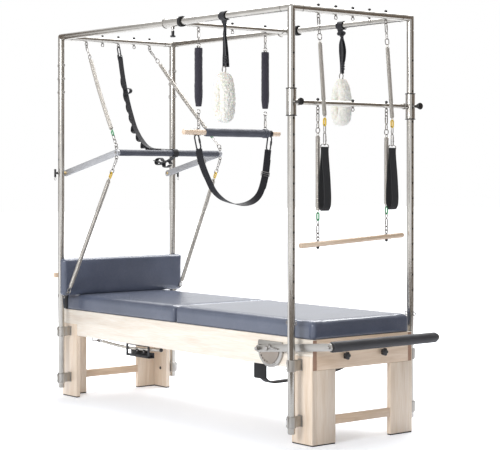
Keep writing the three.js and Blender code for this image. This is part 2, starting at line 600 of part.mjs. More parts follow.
// Push-through bar: two flat arms welded to a padded cross tube, hung on pull pins
const pushDirection = point(Math.cos(PUSH.angle), 0, Math.sin(PUSH.angle))
const pushPivot = point(-postX, 0, PUSH.pivotZ)
const pushAxis = along(pushPivot, pushDirection, PUSH.reach)
function roundedArm(length, tail, height, endRadius) {
  const shape = new THREE.Shape()
  shape.absarc(-tail + height / 2, 0, height / 2, Math.PI / 2, -Math.PI / 2, false)
  shape.absarc(length, 0, endRadius, -Math.PI / 2, Math.PI / 2, false)
  return shape
}
function pushArm(side) {
  const up = new THREE.Vector3().crossVectors(pushDirection, Y).negate()
  const inner = side * PUSH.armInner
  const start = side > 0 ? inner + PUSH.armThickness : inner
  const origin = point(pushPivot.x, start, pushPivot.z)
  const arm = plate(roundedArm(PUSH.reach, PUSH.tail, PUSH.armHeight, PUSH.armHeight / 2), origin,
    pushDirection, up, PUSH.armThickness, 4)
  return arm
}
const barEye = (side, up) => {
  const middle = PUSH.armInner + PUSH.armThickness / 2
  return point(pushAxis.x, side * middle, pushAxis.z + up * (PUSH.armHeight / 2 + EYE.radius))
}
function pushBar() {
  const bores = both.map((side) => rod(point(pushPivot.x, side * (PUSH.armInner - OVERRUN), pushPivot.z),
    point(0, side, 0), POST_SPACING_Y / 2 - PUSH.armInner, PUSH.pinRadius + 2 * GAP, PUSH.pinSides))
  const bosses = both.map((side) => rod(point(pushPivot.x, side * PUSH.armInner, pushPivot.z),
    point(0, side, 0), postY - TUBE_RADIUS - PUSH.armInner - GAP, PUSH.bushRadius, PUSH.pinSides))
  const grip = rod(point(pushAxis.x, -PUSH.armInner - WELD, pushAxis.z), Y, 2 * (PUSH.armInner + WELD),
    PUSH.gripRadius, RING_SIDES)
  const eyes = both.flatMap((side) => both.map((up) => link(along(barEye(side, up), Z, EYE.radius), DOWN, Y,
    2 * EYE.radius, 2 * EYE.radius, EYE.wire)))
  return cut(join(pushArm(-1), pushArm(1), grip, ...bosses, ...eyes), ...bores)
}
steel('push_bar', pushBar())

const PIN = { handleHalf: 17, handleRadius: 6, ringThickness: 4 }
function pushPin(side) {
  const out = point(0, side, 0)
  const tip = point(pushPivot.x, side * (PUSH.armInner - GAP), pushPivot.z)
  const shaft = rod(tip, out, postY - PUSH.armInner + PUSH.handleReach - TUBE_RADIUS, PUSH.pinRadius,
    PUSH.pinSides)
  const handle = rod(point(pushPivot.x, side * (postY + PUSH.handleReach - TUBE_RADIUS),
    pushPivot.z - PIN.handleHalf), Z, 2 * PIN.handleHalf, PIN.handleRadius, 8)
  return join(shaft, handle)
}
for (const side of both) plastic(`push_pin_${sideName(side)}`, pushPin(side))

// Eyes on the ends of the bar take the springs from the end rail and from the low eyes on the posts
const railEye = (y) => eyeBottom(point(-postX, y, RAIL_HEIGHT), TUBE_RADIUS, DOWN)
const pull = point(Math.cos(PUSH.kneeAngle), 0, Math.sin(PUSH.kneeAngle))
const lowEye = (side) => along(point(-postX + TUBE_RADIUS + EYE.wire / 2 + EYE.radius, side * postY,
  POST_EYES.low), pull, EYE.radius * Math.cos(PUSH.kneeAngle))
for (const side of both) {
  chrome(`push_spring_upper_${sideName(side)}`, chain({
    from: railEye(side * 2 * END_EYES.pitch), to: along(barEye(side, 1), Z, EYE.radius),
    fromTangent: Y, toTangent: Y,
    upper: [snapHook], lower: [snapHook, colourLink], spring: SPRING, play: 2 * HOOK_PLAY,
  }))
  chrome(`push_spring_lower_${sideName(side)}`, chain({
    from: along(barEye(side, -1), DOWN, EYE.radius), to: lowEye(side), fromTangent: Y, toTangent: new THREE.Vector3().crossVectors(pull, Y),
    upper: [snapHook, colourLink], lower: [shoeHook, smallRing], spring: SPRING,
    knee: along(lowEye(side), pull, PUSH.kneeReach),
  }))
}

// Safety strap from the middle eye of the head rail to the push-through bar
const STRAP = { width: 30, thickness: 3, steps: 13, y: 20 }
const strapShares = [[0.02, 0.085], [0.074, 0.28], [0.148, 0.47], [0.224, 0.62], [0.315, 0.76],
  [0.446, 0.873], [0.565, 0.926], [0.72, 0.935], [0.86, 0.943], [0.93, 0.956]]
const strapTop = railEye(0)
const strapRing = PUSH.gripRadius + 3 * GAP
const strapRoute = strapShares.map(([across, drop]) => [
  -postX + across * (pushAxis.x + postX), strapTop.z - drop * (strapTop.z - pushAxis.z)])
strapRoute.push([pushAxis.x - STRAP.width / 4, pushAxis.z + strapRing + STRAP.thickness / 2])
const strapPlane = (y) => point(0, y + STRAP.width / 2, 0)
webbing('safety_strap',
  plate(band(strapRoute, STRAP.thickness, STRAP.steps), strapPlane(STRAP.y), X, Z, STRAP.width),
  pipe(point(pushAxis.x, STRAP.y - STRAP.width / 2, pushAxis.z), Y, STRAP.width,
    strapRing + STRAP.thickness, strapRing, RING_SIDES))

// Foot loops on long springs from the foot rail; they lean on the crossbar and hang below it
const LOOP = {
  barClearance: 16, below: 70, snap: 102, height: 318, opening: 40, thickness: 6,
  width: 46, steps: 14, ringHeight: 22,
}
function footLoop(side) {
  const top = eyeBottom(point(postX, side * 2 * END_EYES.pitch, RAIL_HEIGHT), TUBE_RADIUS, DOWN)
  const aside = TOWER.barRadius + SPRING.radius + LOOP.barClearance
  const lean = point(aside, 0, TOWER.height - top.z).normalize()
  const bottom = along(top, lean, (TOWER.height - LOOP.below - top.z) / lean.z)
  const hookTop = along(top, lean, -(EYE.wire + LINK.wire + GAP + HOOK_PLAY))
  const across = new THREE.Vector3().crossVectors(Y, lean)
  const hookLength = LINK.length * 2
  const springTop = along(hookTop, lean, hookLength)
  const snapTop = along(bottom, DOWN, colourLink.length)
  const ringTop = along(snapTop, DOWN, LOOP.snap)
  const parts = [link(hookTop, lean, across, hookLength, LINK.width, LINK.wire),
    coil(springTop, bottom, SPRING),
    link(bottom, DOWN, Y, colourLink.length, colourLink.width, colourLink.wire),
    link(snapTop, DOWN, X, LOOP.snap, LINK.width, LINK.wire),
    squareRing(ringTop, DOWN, Y, LOOP.ringHeight, LOOP.width + 4 * LINK.wire, LINK.wire)]
  return { parts, ringBottom: along(ringTop, DOWN, LOOP.ringHeight) }
}
function loopStrap({ ringBottom }) {
  const top = ringBottom.z + LINK.wire + LOOP.thickness / 2 + 3 * GAP
  const half = LOOP.opening / 2
  const neck = LINK.wire + GAP + LOOP.thickness / 2
  const low = top - LOOP.height
  const right = [[neck, top - neck], [neck + GAP, top - 5 * neck], [half, top - LOOP.height * 0.45],
    [half + LOOP.thickness, top - LOOP.height * 0.75], [half * 0.75, low + half * 0.35]]
  const outline = [[0, top], ...right, [0, low], ...right.map(([a, b]) => [-a, b]).reverse()]
  const curve = new THREE.SplineCurve([...outline, outline[0]].map(([a, b]) => new THREE.Vector2(a, b)))
  const rim = (offset) => {
    const points = []
    for (let i = 0; i < LOOP.steps * 2; i++) {
      const spot = curve.getPoint(i / (LOOP.steps * 2))
      const heading = curve.getTangent(i / (LOOP.steps * 2))
      points.push(new THREE.Vector2(spot.x + heading.y * -offset, spot.y + heading.x * offset))
    }
    return points
  }
  const shape = new THREE.Shape(rim(LOOP.thickness / 2))
  shape.holes.push(new THREE.Path(rim(-LOOP.thickness / 2).reverse()))
  return plate(shape, point(ringBottom.x, ringBottom.y + LOOP.width / 2, 0), X, Z, LOOP.width)
}
for (const side of both) {
  const loop = footLoop(side)
  chrome(`foot_loop_spring_${sideName(side)}`, loop.parts)
  webbing(`foot_loop_${sideName(side)}`, loopStrap(loop))
}

// Roll-down bar: a dowel on two springs from the outer eyes of the crossbar
const ROLLDOWN = { drop: 698, length: 720, radius: 14, tilt: 18, nutRadius: 7, nutHeight: 6 }
const rolldownZ = TOWER.height - ROLLDOWN.drop
const rolldownEnd = (side) => point(postX, side * ROLLDOWN.length / 2, rolldownZ + side * ROLLDOWN.tilt)
const rolldownAxis = rolldownEnd(1).sub(rolldownEnd(-1)).normalize()
const rolldownAt = (y) => point(postX, y, rolldownZ + ROLLDOWN.tilt * y / (ROLLDOWN.length / 2))
const rolldownRod = rod(rolldownEnd(-1), rolldownAxis, rolldownEnd(-1).distanceTo(rolldownEnd(1)),
  ROLLDOWN.radius, RING_SIDES)
const longHook = { ...snapHook, length: 2 * LINK.length }
maple('rolldown_bar', rolldownRod, both.map((side) =>
  eyebolt(rolldownAt(side * TOWER.eyeY), ROLLDOWN.radius, Z, Y)))
for (const side of both) {
  const y = side * TOWER.eyeY
  chrome(`rolldown_spring_${sideName(side)}`, chain({
    from: eyeBottom(point(postX, y, TOWER.height), TOWER.barRadius, DOWN),
    to: eyeBottom(rolldownAt(y), ROLLDOWN.radius, Z),
    fromTangent: Y, toTangent: Y,
    upper: [longHook, smallRing], lower: [longHook, colourLink], spring: SPRING,
  }))
}

// Fleece-lined hanging loops on webbing round the top side rails
const FLEECE = {
  x: 527, strapWidth: 42, strapThickness: 3, loopDrop: 560, opening: 14, thickness: 40,
  width: 112, ringDrop: 275, ringLength: 21,
}
const fleeceRingZ = RAIL_HEIGHT - FLEECE.ringDrop
const fleeceBottom = RAIL_HEIGHT - FLEECE.loopDrop
const fleeceShares = [0.7, 0.4, 0.6]
function hangingLoop(side) {
  const y = side * postY
  const ringInner = TUBE_RADIUS + 3 * GAP
  const collar = pipe(point(FLEECE.x - FLEECE.strapWidth / 2, y, RAIL_HEIGHT), X, FLEECE.strapWidth,
    ringInner + FLEECE.strapThickness, ringInner, RING_SIDES)
  const collarBottom = RAIL_HEIGHT - ringInner - FLEECE.strapThickness / 2
  const neckZ = collarBottom - FLEECE.strapWidth
  const [mid, end] = [FLEECE.strapWidth / 3, FLEECE.strapWidth / 2.4]
  const neck = [[-FLEECE.strapWidth / 2, collarBottom], [-mid, neckZ], [-end, fleeceRingZ],
    [end, fleeceRingZ], [mid, neckZ], [FLEECE.strapWidth / 2, collarBottom]]
  const strap = plate(shapeOf(neck), point(FLEECE.x, y + FLEECE.strapThickness, 0), X, Z,
    2 * FLEECE.strapThickness)
  const ringTop = point(FLEECE.x, y, fleeceRingZ)
  return [collar, strap, link(ringTop, DOWN, X, FLEECE.ringLength, LINK.ring, LINK.wire)]
}
function fleeceLoop(side) {
  const y = side * postY
  const top = fleeceRingZ - FLEECE.ringLength + LINK.wire + WELD
  const height = top - fleeceBottom
  const outer = new THREE.Shape()
  const wide = FLEECE.width / 2
  const [hip, waist, chin] = fleeceShares.map((share) => top - height * share)
  const crest = wide * 0.3
  outer.moveTo(crest, top)
  outer.bezierCurveTo(wide * 0.9, top, wide * 0.8, waist, wide, hip)
  outer.bezierCurveTo(wide, fleeceBottom, wide / 2, fleeceBottom, 0, fleeceBottom)
  outer.bezierCurveTo(-wide / 2, fleeceBottom, -wide, fleeceBottom, -wide, hip)
  outer.bezierCurveTo(-wide * 0.8, waist, -wide * 0.9, top, -crest, top)
  const rim = Array.from({ length: RING_SIDES }, (_, k) => 2 * Math.PI * k / RING_SIDES).map((angle) =>
    new THREE.Vector2(FLEECE.opening / 2 * Math.cos(angle), chin + height / 4 * Math.sin(angle)))
  outer.holes.push(new THREE.Path(rim))
  return plate(outer, point(FLEECE.x, y + FLEECE.thickness, 0), X, Z, 2 * FLEECE.thickness, 4)
}
for (const side of both) fleece(`hanging_loop_${sideName(side)}`, hangingLoop(side), fleeceLoop(side))

// Foot bar: two flat arms and a padded grip, pivoted on quadrant plates with a pull pin and a latch
const footPivot = (side) => point(FOOTBAR.pivotX, side * bedHalf, FOOTBAR.pivotZ)
const footDirection = point(Math.cos(FOOTBAR.angle), 0, Math.sin(FOOTBAR.angle))
const footUp = point(-Math.sin(FOOTBAR.angle), 0, Math.cos(FOOTBAR.angle))
const footAxis = along(footPivot(0), footDirection, FOOTBAR.reach)
function footArm(side) {
  const start = side > 0 ? FOOTBAR.armInner + FOOTBAR.armThickness : -FOOTBAR.armInner
  const origin = point(FOOTBAR.pivotX, start, FOOTBAR.pivotZ)
  return plate(roundedArm(FOOTBAR.reach, FOOTBAR.tail + FOOTBAR.armHeight / 2, FOOTBAR.armHeight,
    FOOTBAR.armHeight / 2), origin, footDirection, footUp, FOOTBAR.armThickness, 4)
}
function footArms() {
  const outward = (side) => point(0, side, 0)
  const bores = both.map((side) => rod(point(FOOTBAR.pivotX, side * (FOOTBAR.armInner - OVERRUN),
    FOOTBAR.pivotZ), outward(side), FOOTBAR.armThickness + 2 * OVERRUN, FOOTBAR.boltRadius + 2 * GAP,
  FOOTBAR.boltSides))
  const pinSpot = along(footPivot(0), footDirection, -FOOTBAR.tail)
  const pinBores = both.map((side) => rod(point(pinSpot.x, side * (FOOTBAR.armInner - OVERRUN), pinSpot.z),
    outward(side), FOOTBAR.armThickness + 2 * OVERRUN, FOOTBAR.pinRadius + 2 * GAP, 8))
  const grip = rod(point(footAxis.x, -FOOTBAR.armInner - WELD, footAxis.z), Y,
    2 * (FOOTBAR.armInner + WELD), FOOTBAR.gripRadius, TUBE_SIDES)
  return cut(join(footArm(-1), footArm(1), grip), ...bores, pinBores[0])
}
steel('footbar', footArms())

function quadrant(side) {
  const { plateRadius, plateShift, plateTop, plateThickness, hubRadius, hubHeight } = FOOTBAR
  const lift = Math.asin(plateTop / plateRadius)
  const outline = new THREE.Shape()
  outline.absarc(plateShift, 0, plateRadius, Math.PI - lift, 2 * Math.PI + lift, false)
  const hub = new THREE.Shape()
  const hubLift = Math.asin(plateTop * 0.4 / hubRadius)
  hub.absarc(0, 0, hubRadius, Math.PI - hubLift, 2 * Math.PI + hubLift, false)
  const layer = (shape, near, thickness) => plate(shape, point(FOOTBAR.pivotX,
    side > 0 ? near + thickness : -near, FOOTBAR.pivotZ), X, Z, thickness, 8)
  const face = bedHalf + GAP
  const body = join(layer(outline, face, plateThickness),
    layer(hub, face + plateThickness / 2, plateThickness / 2 + hubHeight))
  const holes = []
  for (let k = 0; k < FOOTBAR.holes && side < 0; k++) {
    const angle = Math.PI + FOOTBAR.angle + k * FOOTBAR.holeStep
    holes.push(rod(point(FOOTBAR.pivotX + FOOTBAR.tail * Math.cos(angle), side * (face + plateThickness / 2),
      FOOTBAR.pivotZ + FOOTBAR.tail * Math.sin(angle)), point(0, side, 0), plateThickness + hubHeight,
    FOOTBAR.pinRadius + 2 * GAP, 8))
  }
  const boltStart = bedHalf - BOARD / 3
  const neck = FOOTBAR.armInner + FOOTBAR.armThickness + GAP - boltStart
  const bolt = turned([[0, 0], [FOOTBAR.boltRadius, 0], [FOOTBAR.boltRadius, neck], [FOOTBAR.boltHead, neck],
    [FOOTBAR.boltHead, neck + FOOTBAR.headHeight], [0, neck + FOOTBAR.headHeight]],
  point(FOOTBAR.pivotX, side * boltStart, FOOTBAR.pivotZ), point(0, side, 0), FOOTBAR.boltSides)
  return join(holes.length ? cut(body, ...holes) : body, bolt)
}
for (const side of both) steel(`footbar_quadrant_${sideName(side)}`, quadrant(side))

function lockPin() {
  const spot = along(footPivot(0), footDirection, -FOOTBAR.tail)
  const tipY = bedHalf + GAP + FOOTBAR.plateThickness + FOOTBAR.hubHeight + GAP
  const reach = FOOTBAR.armInner + FOOTBAR.armThickness + FOOTBAR.pinTravel + 2 * GAP - tipY
  const grip = FOOTBAR.pinKnob * 2
  return turned([[0, 0], [FOOTBAR.pinRadius, 0], [FOOTBAR.pinRadius, reach], [FOOTBAR.pinKnob, reach],
    [FOOTBAR.pinKnob, reach + grip / 2], [FOOTBAR.pinKnob * 0.7, reach + grip], [0, reach + grip]],
  point(spot.x, -tipY, spot.z), point(0, -1, 0), 10)
}
chrome('footbar_lock_pin', lockPin())

const LATCH = { hub: 9, reach: 62, tip: 6, nose: 24, thickness: 5, offset: 30 }
function latch() {
  const centre = along(footPivot(0), footDirection, LATCH.offset)
  const shape = new THREE.Shape()
  shape.moveTo(-LATCH.hub, 0)
  shape.lineTo(-LATCH.hub * 0.6, LATCH.nose)
  shape.lineTo(LATCH.hub * 0.4, LATCH.nose)
  shape.lineTo(LATCH.hub, LATCH.hub)
  shape.lineTo(LATCH.reach, LATCH.tip - LATCH.hub)
  shape.lineTo(LATCH.reach, -LATCH.hub)
  shape.lineTo(0, -LATCH.hub)
  const face = FOOTBAR.armInner + FOOTBAR.armThickness + GAP
  return plate(shape, point(centre.x, -face, centre.z), footDirection, footUp, LATCH.thickness)
}
chrome('footbar_latch', latch())

// Star knobs on the foot apron
const STAR = { y: 131, z: 438, radius: 18, lobes: 5, dip: 0.72, thickness: 14, stem: 5, stemLength: 10 }
function starKnob(side) {
  const points = []
  for (let k = 0; k < 4 * STAR.lobes; k++) {
    const angle = (k / (4 * STAR.lobes)) * 2 * Math.PI
    const reach = STAR.radius * (k % 4 < 2 ? 1 : STAR.dip)
    points.push([reach * Math.cos(angle), reach * Math.sin(angle)])
  }
  const face = footEnd + GAP
  const head = plate(shapeOf(points), point(face + STAR.stemLength, side * STAR.y, STAR.z), Y, Z,
    STAR.thickness)
  return join(head, rod(point(face, side * STAR.y, STAR.z), X, STAR.stemLength + STAR.thickness / 2,
    STAR.stem, 8))
}
for (const side of both) plastic(`star_knob_${sideName(side)}`, starKnob(side))

// Under the bed: a foot strap across the rails, and a spring over two rollers in a bracket
const FOOT_STRAP = { x: 704, width: 50, pouch: 98, pouchDrop: 84, sag: 110, thickness: 4, steps: 16 }
function footStrap() {
  const anchor = railInner - 3 * GAP - FOOT_STRAP.thickness / 2
  const top = railBottom + BOARD
  const shares = [[-1, 0], [-1, 0.4], [-0.985, 0.7], [-0.82, 1], [-0.45, 1.02], [0, 1], [0.45, 0.9],
    [0.82, 0.72], [0.985, 0.45], [1, 0.25], [1, 0]]
  const route = shares.map(([across, drop]) => [across * anchor, top - drop * (FOOT_STRAP.sag + BOARD)])
  const strap = plate(band(route, FOOT_STRAP.thickness, FOOT_STRAP.steps),
    point(FOOT_STRAP.x - FOOT_STRAP.width / 2, 0, 0), Y, Z, FOOT_STRAP.width)
  const pouchY = -anchor - FOOT_STRAP.thickness
  return join(strap, block(FOOT_STRAP.x - FOOT_STRAP.pouch / 2, FOOT_STRAP.x + FOOT_STRAP.pouch / 2,
    pouchY, pouchY + 2 * FOOT_STRAP.thickness, railBottom - GAP - FOOT_STRAP.pouchDrop, railBottom - GAP))
}
webbing('foot_strap', footStrap())

const BRACKET = {
  x0: -520, x1: -290, width: 38, wall: 3, bottom: 300, top: 372, backTop: 470, rollerRadius: 12,
  rollers: [-418, -348], rollerZ: 334, axle: 3,
}
function bracket() {
  const back = railInner - GAP
  const front = back - BRACKET.width
  const channel = [
    block(BRACKET.x0, BRACKET.x1, -back, -back + BRACKET.wall, BRACKET.bottom, BRACKET.backTop),
    block(BRACKET.x0, BRACKET.x1, -back, -front, BRACKET.bottom, BRACKET.bottom + BRACKET.wall),
    block(BRACKET.x0, BRACKET.x1, -front - BRACKET.wall, -front, BRACKET.bottom, BRACKET.top)]
  const axles = BRACKET.rollers.map((x) => rod(point(x, -back + BRACKET.wall / 2, BRACKET.rollerZ), Y,
    BRACKET.width - BRACKET.wall, BRACKET.axle, 6))
  const rollers = BRACKET.rollers.map((x) => rod(point(x, -back + BRACKET.wall + GAP, BRACKET.rollerZ), Y,
    BRACKET.width - 2 * (BRACKET.wall + GAP), BRACKET.rollerRadius, RING_SIDES))
  return [...channel, ...axles, ...rollers]
}
plastic('underbed_bracket', bracket())
function storedSpring() {
  const hook = point(STORED.x0 + EYE.radius - EYE.wire - LINK.wire - GAP - HOOK_PLAY, -STORED.y, STORED.z)
  const ballAt = point(STORED.x1, -STORED.y, STORED.z)
  const spring = { ...SPRING, radius: STORED.radius, curls: STORED.curls }
  return [link(hook, X, Z, LINK.length, LINK.width, LINK.wire),
    coil(along(hook, X, LINK.length), ballAt, spring),
    new THREE.SphereGeometry(STORED.ball, 8, 6).translate(ballAt.x, ballAt.y, ballAt.z)]
}
chrome('underbed_spring', storedSpring())

// The origin is at the middle of the footprint, on the floor
const bounds = new THREE.Box3().setFromObject(table, true)
const middle = bounds.getCenter(new THREE.Vector3())
table.position.set(-middle.x, -middle.y, -bounds.min.z)
table.updateMatrixWorld(true)
console.log(`least gap between turns of a spring: ${leastCoilGap.toFixed(2)} mm`)

export default table
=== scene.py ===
import math

import bmesh
import bpy
from mathutils import Matrix, Vector, noise


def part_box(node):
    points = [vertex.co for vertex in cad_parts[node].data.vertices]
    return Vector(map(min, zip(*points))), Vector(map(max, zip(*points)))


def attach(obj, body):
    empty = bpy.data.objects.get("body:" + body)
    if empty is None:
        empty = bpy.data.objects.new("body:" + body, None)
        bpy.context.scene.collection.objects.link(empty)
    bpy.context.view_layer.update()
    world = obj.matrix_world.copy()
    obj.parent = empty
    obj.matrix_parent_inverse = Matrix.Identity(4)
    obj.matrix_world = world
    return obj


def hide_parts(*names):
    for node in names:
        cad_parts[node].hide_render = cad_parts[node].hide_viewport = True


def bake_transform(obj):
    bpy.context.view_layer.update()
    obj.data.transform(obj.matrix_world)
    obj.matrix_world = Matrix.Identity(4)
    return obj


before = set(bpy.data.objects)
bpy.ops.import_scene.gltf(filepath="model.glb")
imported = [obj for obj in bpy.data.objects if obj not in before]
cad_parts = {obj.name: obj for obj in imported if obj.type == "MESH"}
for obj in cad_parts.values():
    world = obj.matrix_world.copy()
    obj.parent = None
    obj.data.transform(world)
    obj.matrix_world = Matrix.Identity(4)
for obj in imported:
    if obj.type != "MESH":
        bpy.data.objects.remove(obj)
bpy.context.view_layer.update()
scene = bpy.context.scene

# Shapes are made in millimetres: x = 0 midway between the posts, y = 0 on the centre line, z = 0 on the floor
rail_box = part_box("top_rail_near")
MM = 0.001
TO_ROW = Matrix.Translation(((rail_box[0].x + rail_box[1].x) / 2, 0, 0)) @ Matrix.Scale(MM, 4)

# Axes of the posts and of the top rails, and the radius of their tube
POST_X, POST_Y, RAIL_Z, TUBE = 1067, 416, 2180, 19
# Ends, half width, top and underside of the bed's boards, and their thickness
HEAD_END, FOOT_END = -1159, 1147
BED_HALF, BED_TOP, RAIL_LOW, BOARD = 345, 528, 375, 27
HOLE_PITCH = 81
ENDS = ((-1, "head", HEAD_END), (1, "foot", FOOT_END))
SIDES = ((-1, "near"), (1, "far"))
X, Y, Z = Vector((1, 0, 0)), Vector((0, 1, 0)), Vector((0, 0, 1))

# Level camera, fitted to the straight edges of the photograph and shifted to its 500 x 450 frame
CAMERA_TURN = 0.885
camera_data = bpy.data.cameras.new("camera")
camera_data.sensor_width = 36
camera_data.lens = 109.05
camera_data.shift_x = -0.009
camera_data.shift_y = -0.1013
camera_data.clip_end = 100
camera = bpy.data.objects.new("camera", camera_data)
camera.location = TO_ROW @ Vector((6764.8, -5314.4, 1350.2))
camera.rotation_euler = (math.pi / 2, 0, CAMERA_TURN)
scene.collection.objects.link(camera)
scene.camera = camera


# Materials
def colour(code):
    """sRGB hex to the linear colour that a socket takes."""
    parts = [int(code[i:i + 2], 16) / 255 for i in (1, 3, 5)]
    return [p / 12.92 if p <= 0.04045 else ((p + 0.055) / 1.055) ** 2.4 for p in parts] + [1]


def add(tree, kind, settings=None, links=None):
    """Adds a shader node, sets its colour stops, properties and sockets, and joins sockets to it."""
    made = tree.nodes.new("ShaderNode" + kind)
    for name, value in (settings or {}).items():
        if name == "stops":
            stops = made.color_ramp.elements
            while len(stops) < len(value):
                stops.new(0.5)
            for stop, (place, code) in zip(stops, value):
                stop.position, stop.color = place, colour(code)
        elif isinstance(name, str) and hasattr(made, name):
            setattr(made, name, value)
        else:
            made.inputs[name].default_value = value
    for name, source in (links or {}).items():
        tree.links.new(source, made.inputs[name])
    return made


def finish(name, settings):
    """A new material with one Principled shader; returns its tree and shader too."""
    material = bpy.data.materials.new(name)
    material.use_nodes = True
    tree = material.node_tree
    shader = tree.nodes["Principled BSDF"]
    for socket, value in settings.items():
        shader.inputs[socket].default_value = value
    return material, tree, shader


def pattern(tree, kind, settings, per_metre=(1, 1, 1)):
    """A texture on Object coordinates, with its repeats per metre along each axis."""
    where = add(tree, "TexCoord").outputs["Object"]
    laid = add(tree, "Mapping", {"Scale": per_metre}, {"Vector": where}).outputs[0]
    return add(tree, kind, settings, {"Vector": laid})


def along_grain(grain, along, across):
    """Repeats per metre on the three axes, for a pattern that runs with the grain."""
    return [along if axis == grain else across for axis in range(3)]


def dress(tree, shader, fine, strength, depth, rough=None, tone=None):
    """Relief and, where given, a roughness range from a fine pattern, and colour from another socket."""
    relief = add(tree, "Bump", {"Strength": strength, "Distance": depth}, {"Height": fine})
    tree.links.new(relief.outputs[0], shader.inputs["Normal"])
    if rough:
        low, high = rough
        span = add(tree, "MapRange", {"To Min": low, "To Max": high}, {"Value": fine})
        tree.links.new(span.outputs[0], shader.inputs["Roughness"])
    if tone:
        tree.links.new(tone, shader.inputs["Base Color"])


def maple(name, grain, tones):
    """Hard maple under satin lacquer: pale, close grain with faint brown streaks along the board."""
    material, tree, shader = finish(name, {"Specular IOR Level": 0.4, "Coat Weight": 0.25,
                                           "Coat Roughness": 0.3})
    # Growth bands about 40 mm apart, and pores drawn 2.4 mm apart so that they show
    bands = pattern(tree, "TexNoise", {"Scale": 1, "Detail": 4, "Roughness": 0.55, "Distortion": 0.6},
                    along_grain(grain, 2.2, 26)).outputs[0]
    pores = pattern(tree, "TexNoise", {"Scale": 1, "Detail": 3, "Roughness": 0.6},
                    along_grain(grain, 9, 420)).outputs[0]
    base = add(tree, "ValToRGB", {"stops": list(zip((0.3, 0.5, 0.72), tones))}, {"Fac": bands})
    fleck = add(tree, "ValToRGB", {"stops": [(0.35, "#efe2cf"), (0.6, "#ffffff")]}, {"Fac": pores})
    mixed = add(tree, "Mix", {"data_type": "RGBA", "blend_type": "MULTIPLY", 0: 0.55},
                {6: base.outputs[0], 7: fleck.outputs[0]})
    dress(tree, shader, pores, 0.12, 0.0004, (0.34, 0.48), mixed.outputs[2])
    return material


def brushed(name, code, worn, rough, grain, per_metre):
    """Steel brushed one way: fine streaks that spread the highlight, and duller patches from handling."""
    material, tree, shader = finish(name, {"Base Color": colour(code), "Metallic": 1})
    streaks = pattern(tree, "TexNoise", {"Scale": 1, "Detail": 3, "Roughness": 0.6},
                      along_grain(grain, 6, per_metre)).outputs[0]
    handling = pattern(tree, "TexNoise", {"Scale": 7, "Detail": 3}).outputs[0]
    tone = add(tree, "ValToRGB", {"stops": [(0.3, code), (0.7, worn)]}, {"Fac": handling})
    dress(tree, shader, streaks, 0.006, 0.0002, rough, tone.outputs[0])
    return material


def plated(name, code, rough):
    """Plate on wire and castings: bright, with faint ripples about 4 mm apart."""
    material, tree, shader = finish(name, {"Base Color": colour(code), "Metallic": 1, "Roughness": rough})
    ripple = pattern(tree, "TexNoise", {"Scale": 260, "Detail": 2}).outputs[0]
    dress(tree, shader, ripple, 0.05, 0.0003, (rough * 0.7, rough * 1.5))
    return material


def upholstery_vinyl(name):
    """Expanded vinyl over foam: pebbled grain with a soft sheen, in uneven slate blue."""
    material, tree, shader = finish(name, {"Roughness": 0.32, "Specular IOR Level": 0.5,
                                           "Sheen Weight": 0.04, "Sheen Roughness": 0.4,
                                           "Coat Weight": 0.2, "Coat Roughness": 0.16})
    # Pebbles 1.6 mm across
    pebble = pattern(tree, "TexVoronoi", {"Scale": 620, "feature": "SMOOTH_F1"}).outputs["Distance"]
    cloud = pattern(tree, "TexNoise", {"Scale": 5, "Detail": 4}).outputs[0]
    tone = add(tree, "ValToRGB", {"stops": [(0.3, "#4e5566"), (0.7, "#596072")]}, {"Fac": cloud})
    dress(tree, shader, pebble, 0.25, 0.0004, (0.22, 0.34), tone.outputs[0])
    return material


def speckled(name, code, worn, rough, per_metre, strength, depth, extra=None):
    """An even, fine-grained surface, such as foam skin, moulded plastic or rubber, worn in large patches."""
    material, tree, shader = finish(name, {"Roughness": rough, **(extra or {})})
    grit = pattern(tree, "TexNoise", {"Scale": per_metre, "Detail": 3, "Roughness": 0.7}).outputs[0]
    wear = pattern(tree, "TexNoise", {"Scale": per_metre / 60, "Detail": 3}).outputs[0]
    tone = add(tree, "ValToRGB", {"stops": [(0.3, worn), (0.7, code)]}, {"Fac": wear})
    dress(tree, shader, grit, strength, depth, (rough * 0.85, min(1, rough * 1.15)), tone.outputs[0])
    return material


def woven(name, light, dark, thread):
    """Nylon webbing or a knitted cover: crossing rows of threads at the given spacing in millimetres."""
    material, tree, shader = finish(name, {"Roughness": 0.85, "Sheen Weight": 0.25,
                                           "Sheen Roughness": 0.5, "Specular IOR Level": 0.25})
    repeat = 1 / MM / thread / 2 / math.pi
    warp, weft = (pattern(tree, "TexWave", {"Scale": repeat, "bands_direction": way, "Distortion": 0.4,
                                            "Detail": 1, "Detail Scale": 2}).outputs["Fac"]
                  for way in ("Z", "DIAGONAL"))
    weave = add(tree, "Math", {"operation": "MULTIPLY"}, {0: warp, 1: weft}).outputs[0]
    tone = add(tree, "ValToRGB", {"stops": [(0.0, dark), (0.9, light)]}, {"Fac": weave})
    dress(tree, shader, weave, 0.4, 0.0006, tone=tone.outputs[0])
    return material


def wool(name):
    """Boiled fleece: off-white curls about 8 mm wide, very soft, with a strong sheen."""
    material, tree, shader = finish(name, {"Roughness": 1, "Sheen Weight": 0.35, "Sheen Roughness": 0.6,
                                           "Specular IOR Level": 0.1, "Subsurface Weight": 0.1,
                                           "Subsurface Scale": 0.01})
    curl = pattern(tree, "TexNoise", {"Scale": 130, "Detail": 5, "Roughness": 0.7,
                                      "Distortion": 1.2}).outputs[0]
    tone = add(tree, "ValToRGB", {"stops": [(0.3, "#d9d5c6"), (0.55, "#f3f1ea"), (0.75, "#fbfaf6")]},
               {"Fac": curl})
    dress(tree, shader, curl, 0.8, 0.003, tone=tone.outputs[0])
    return material


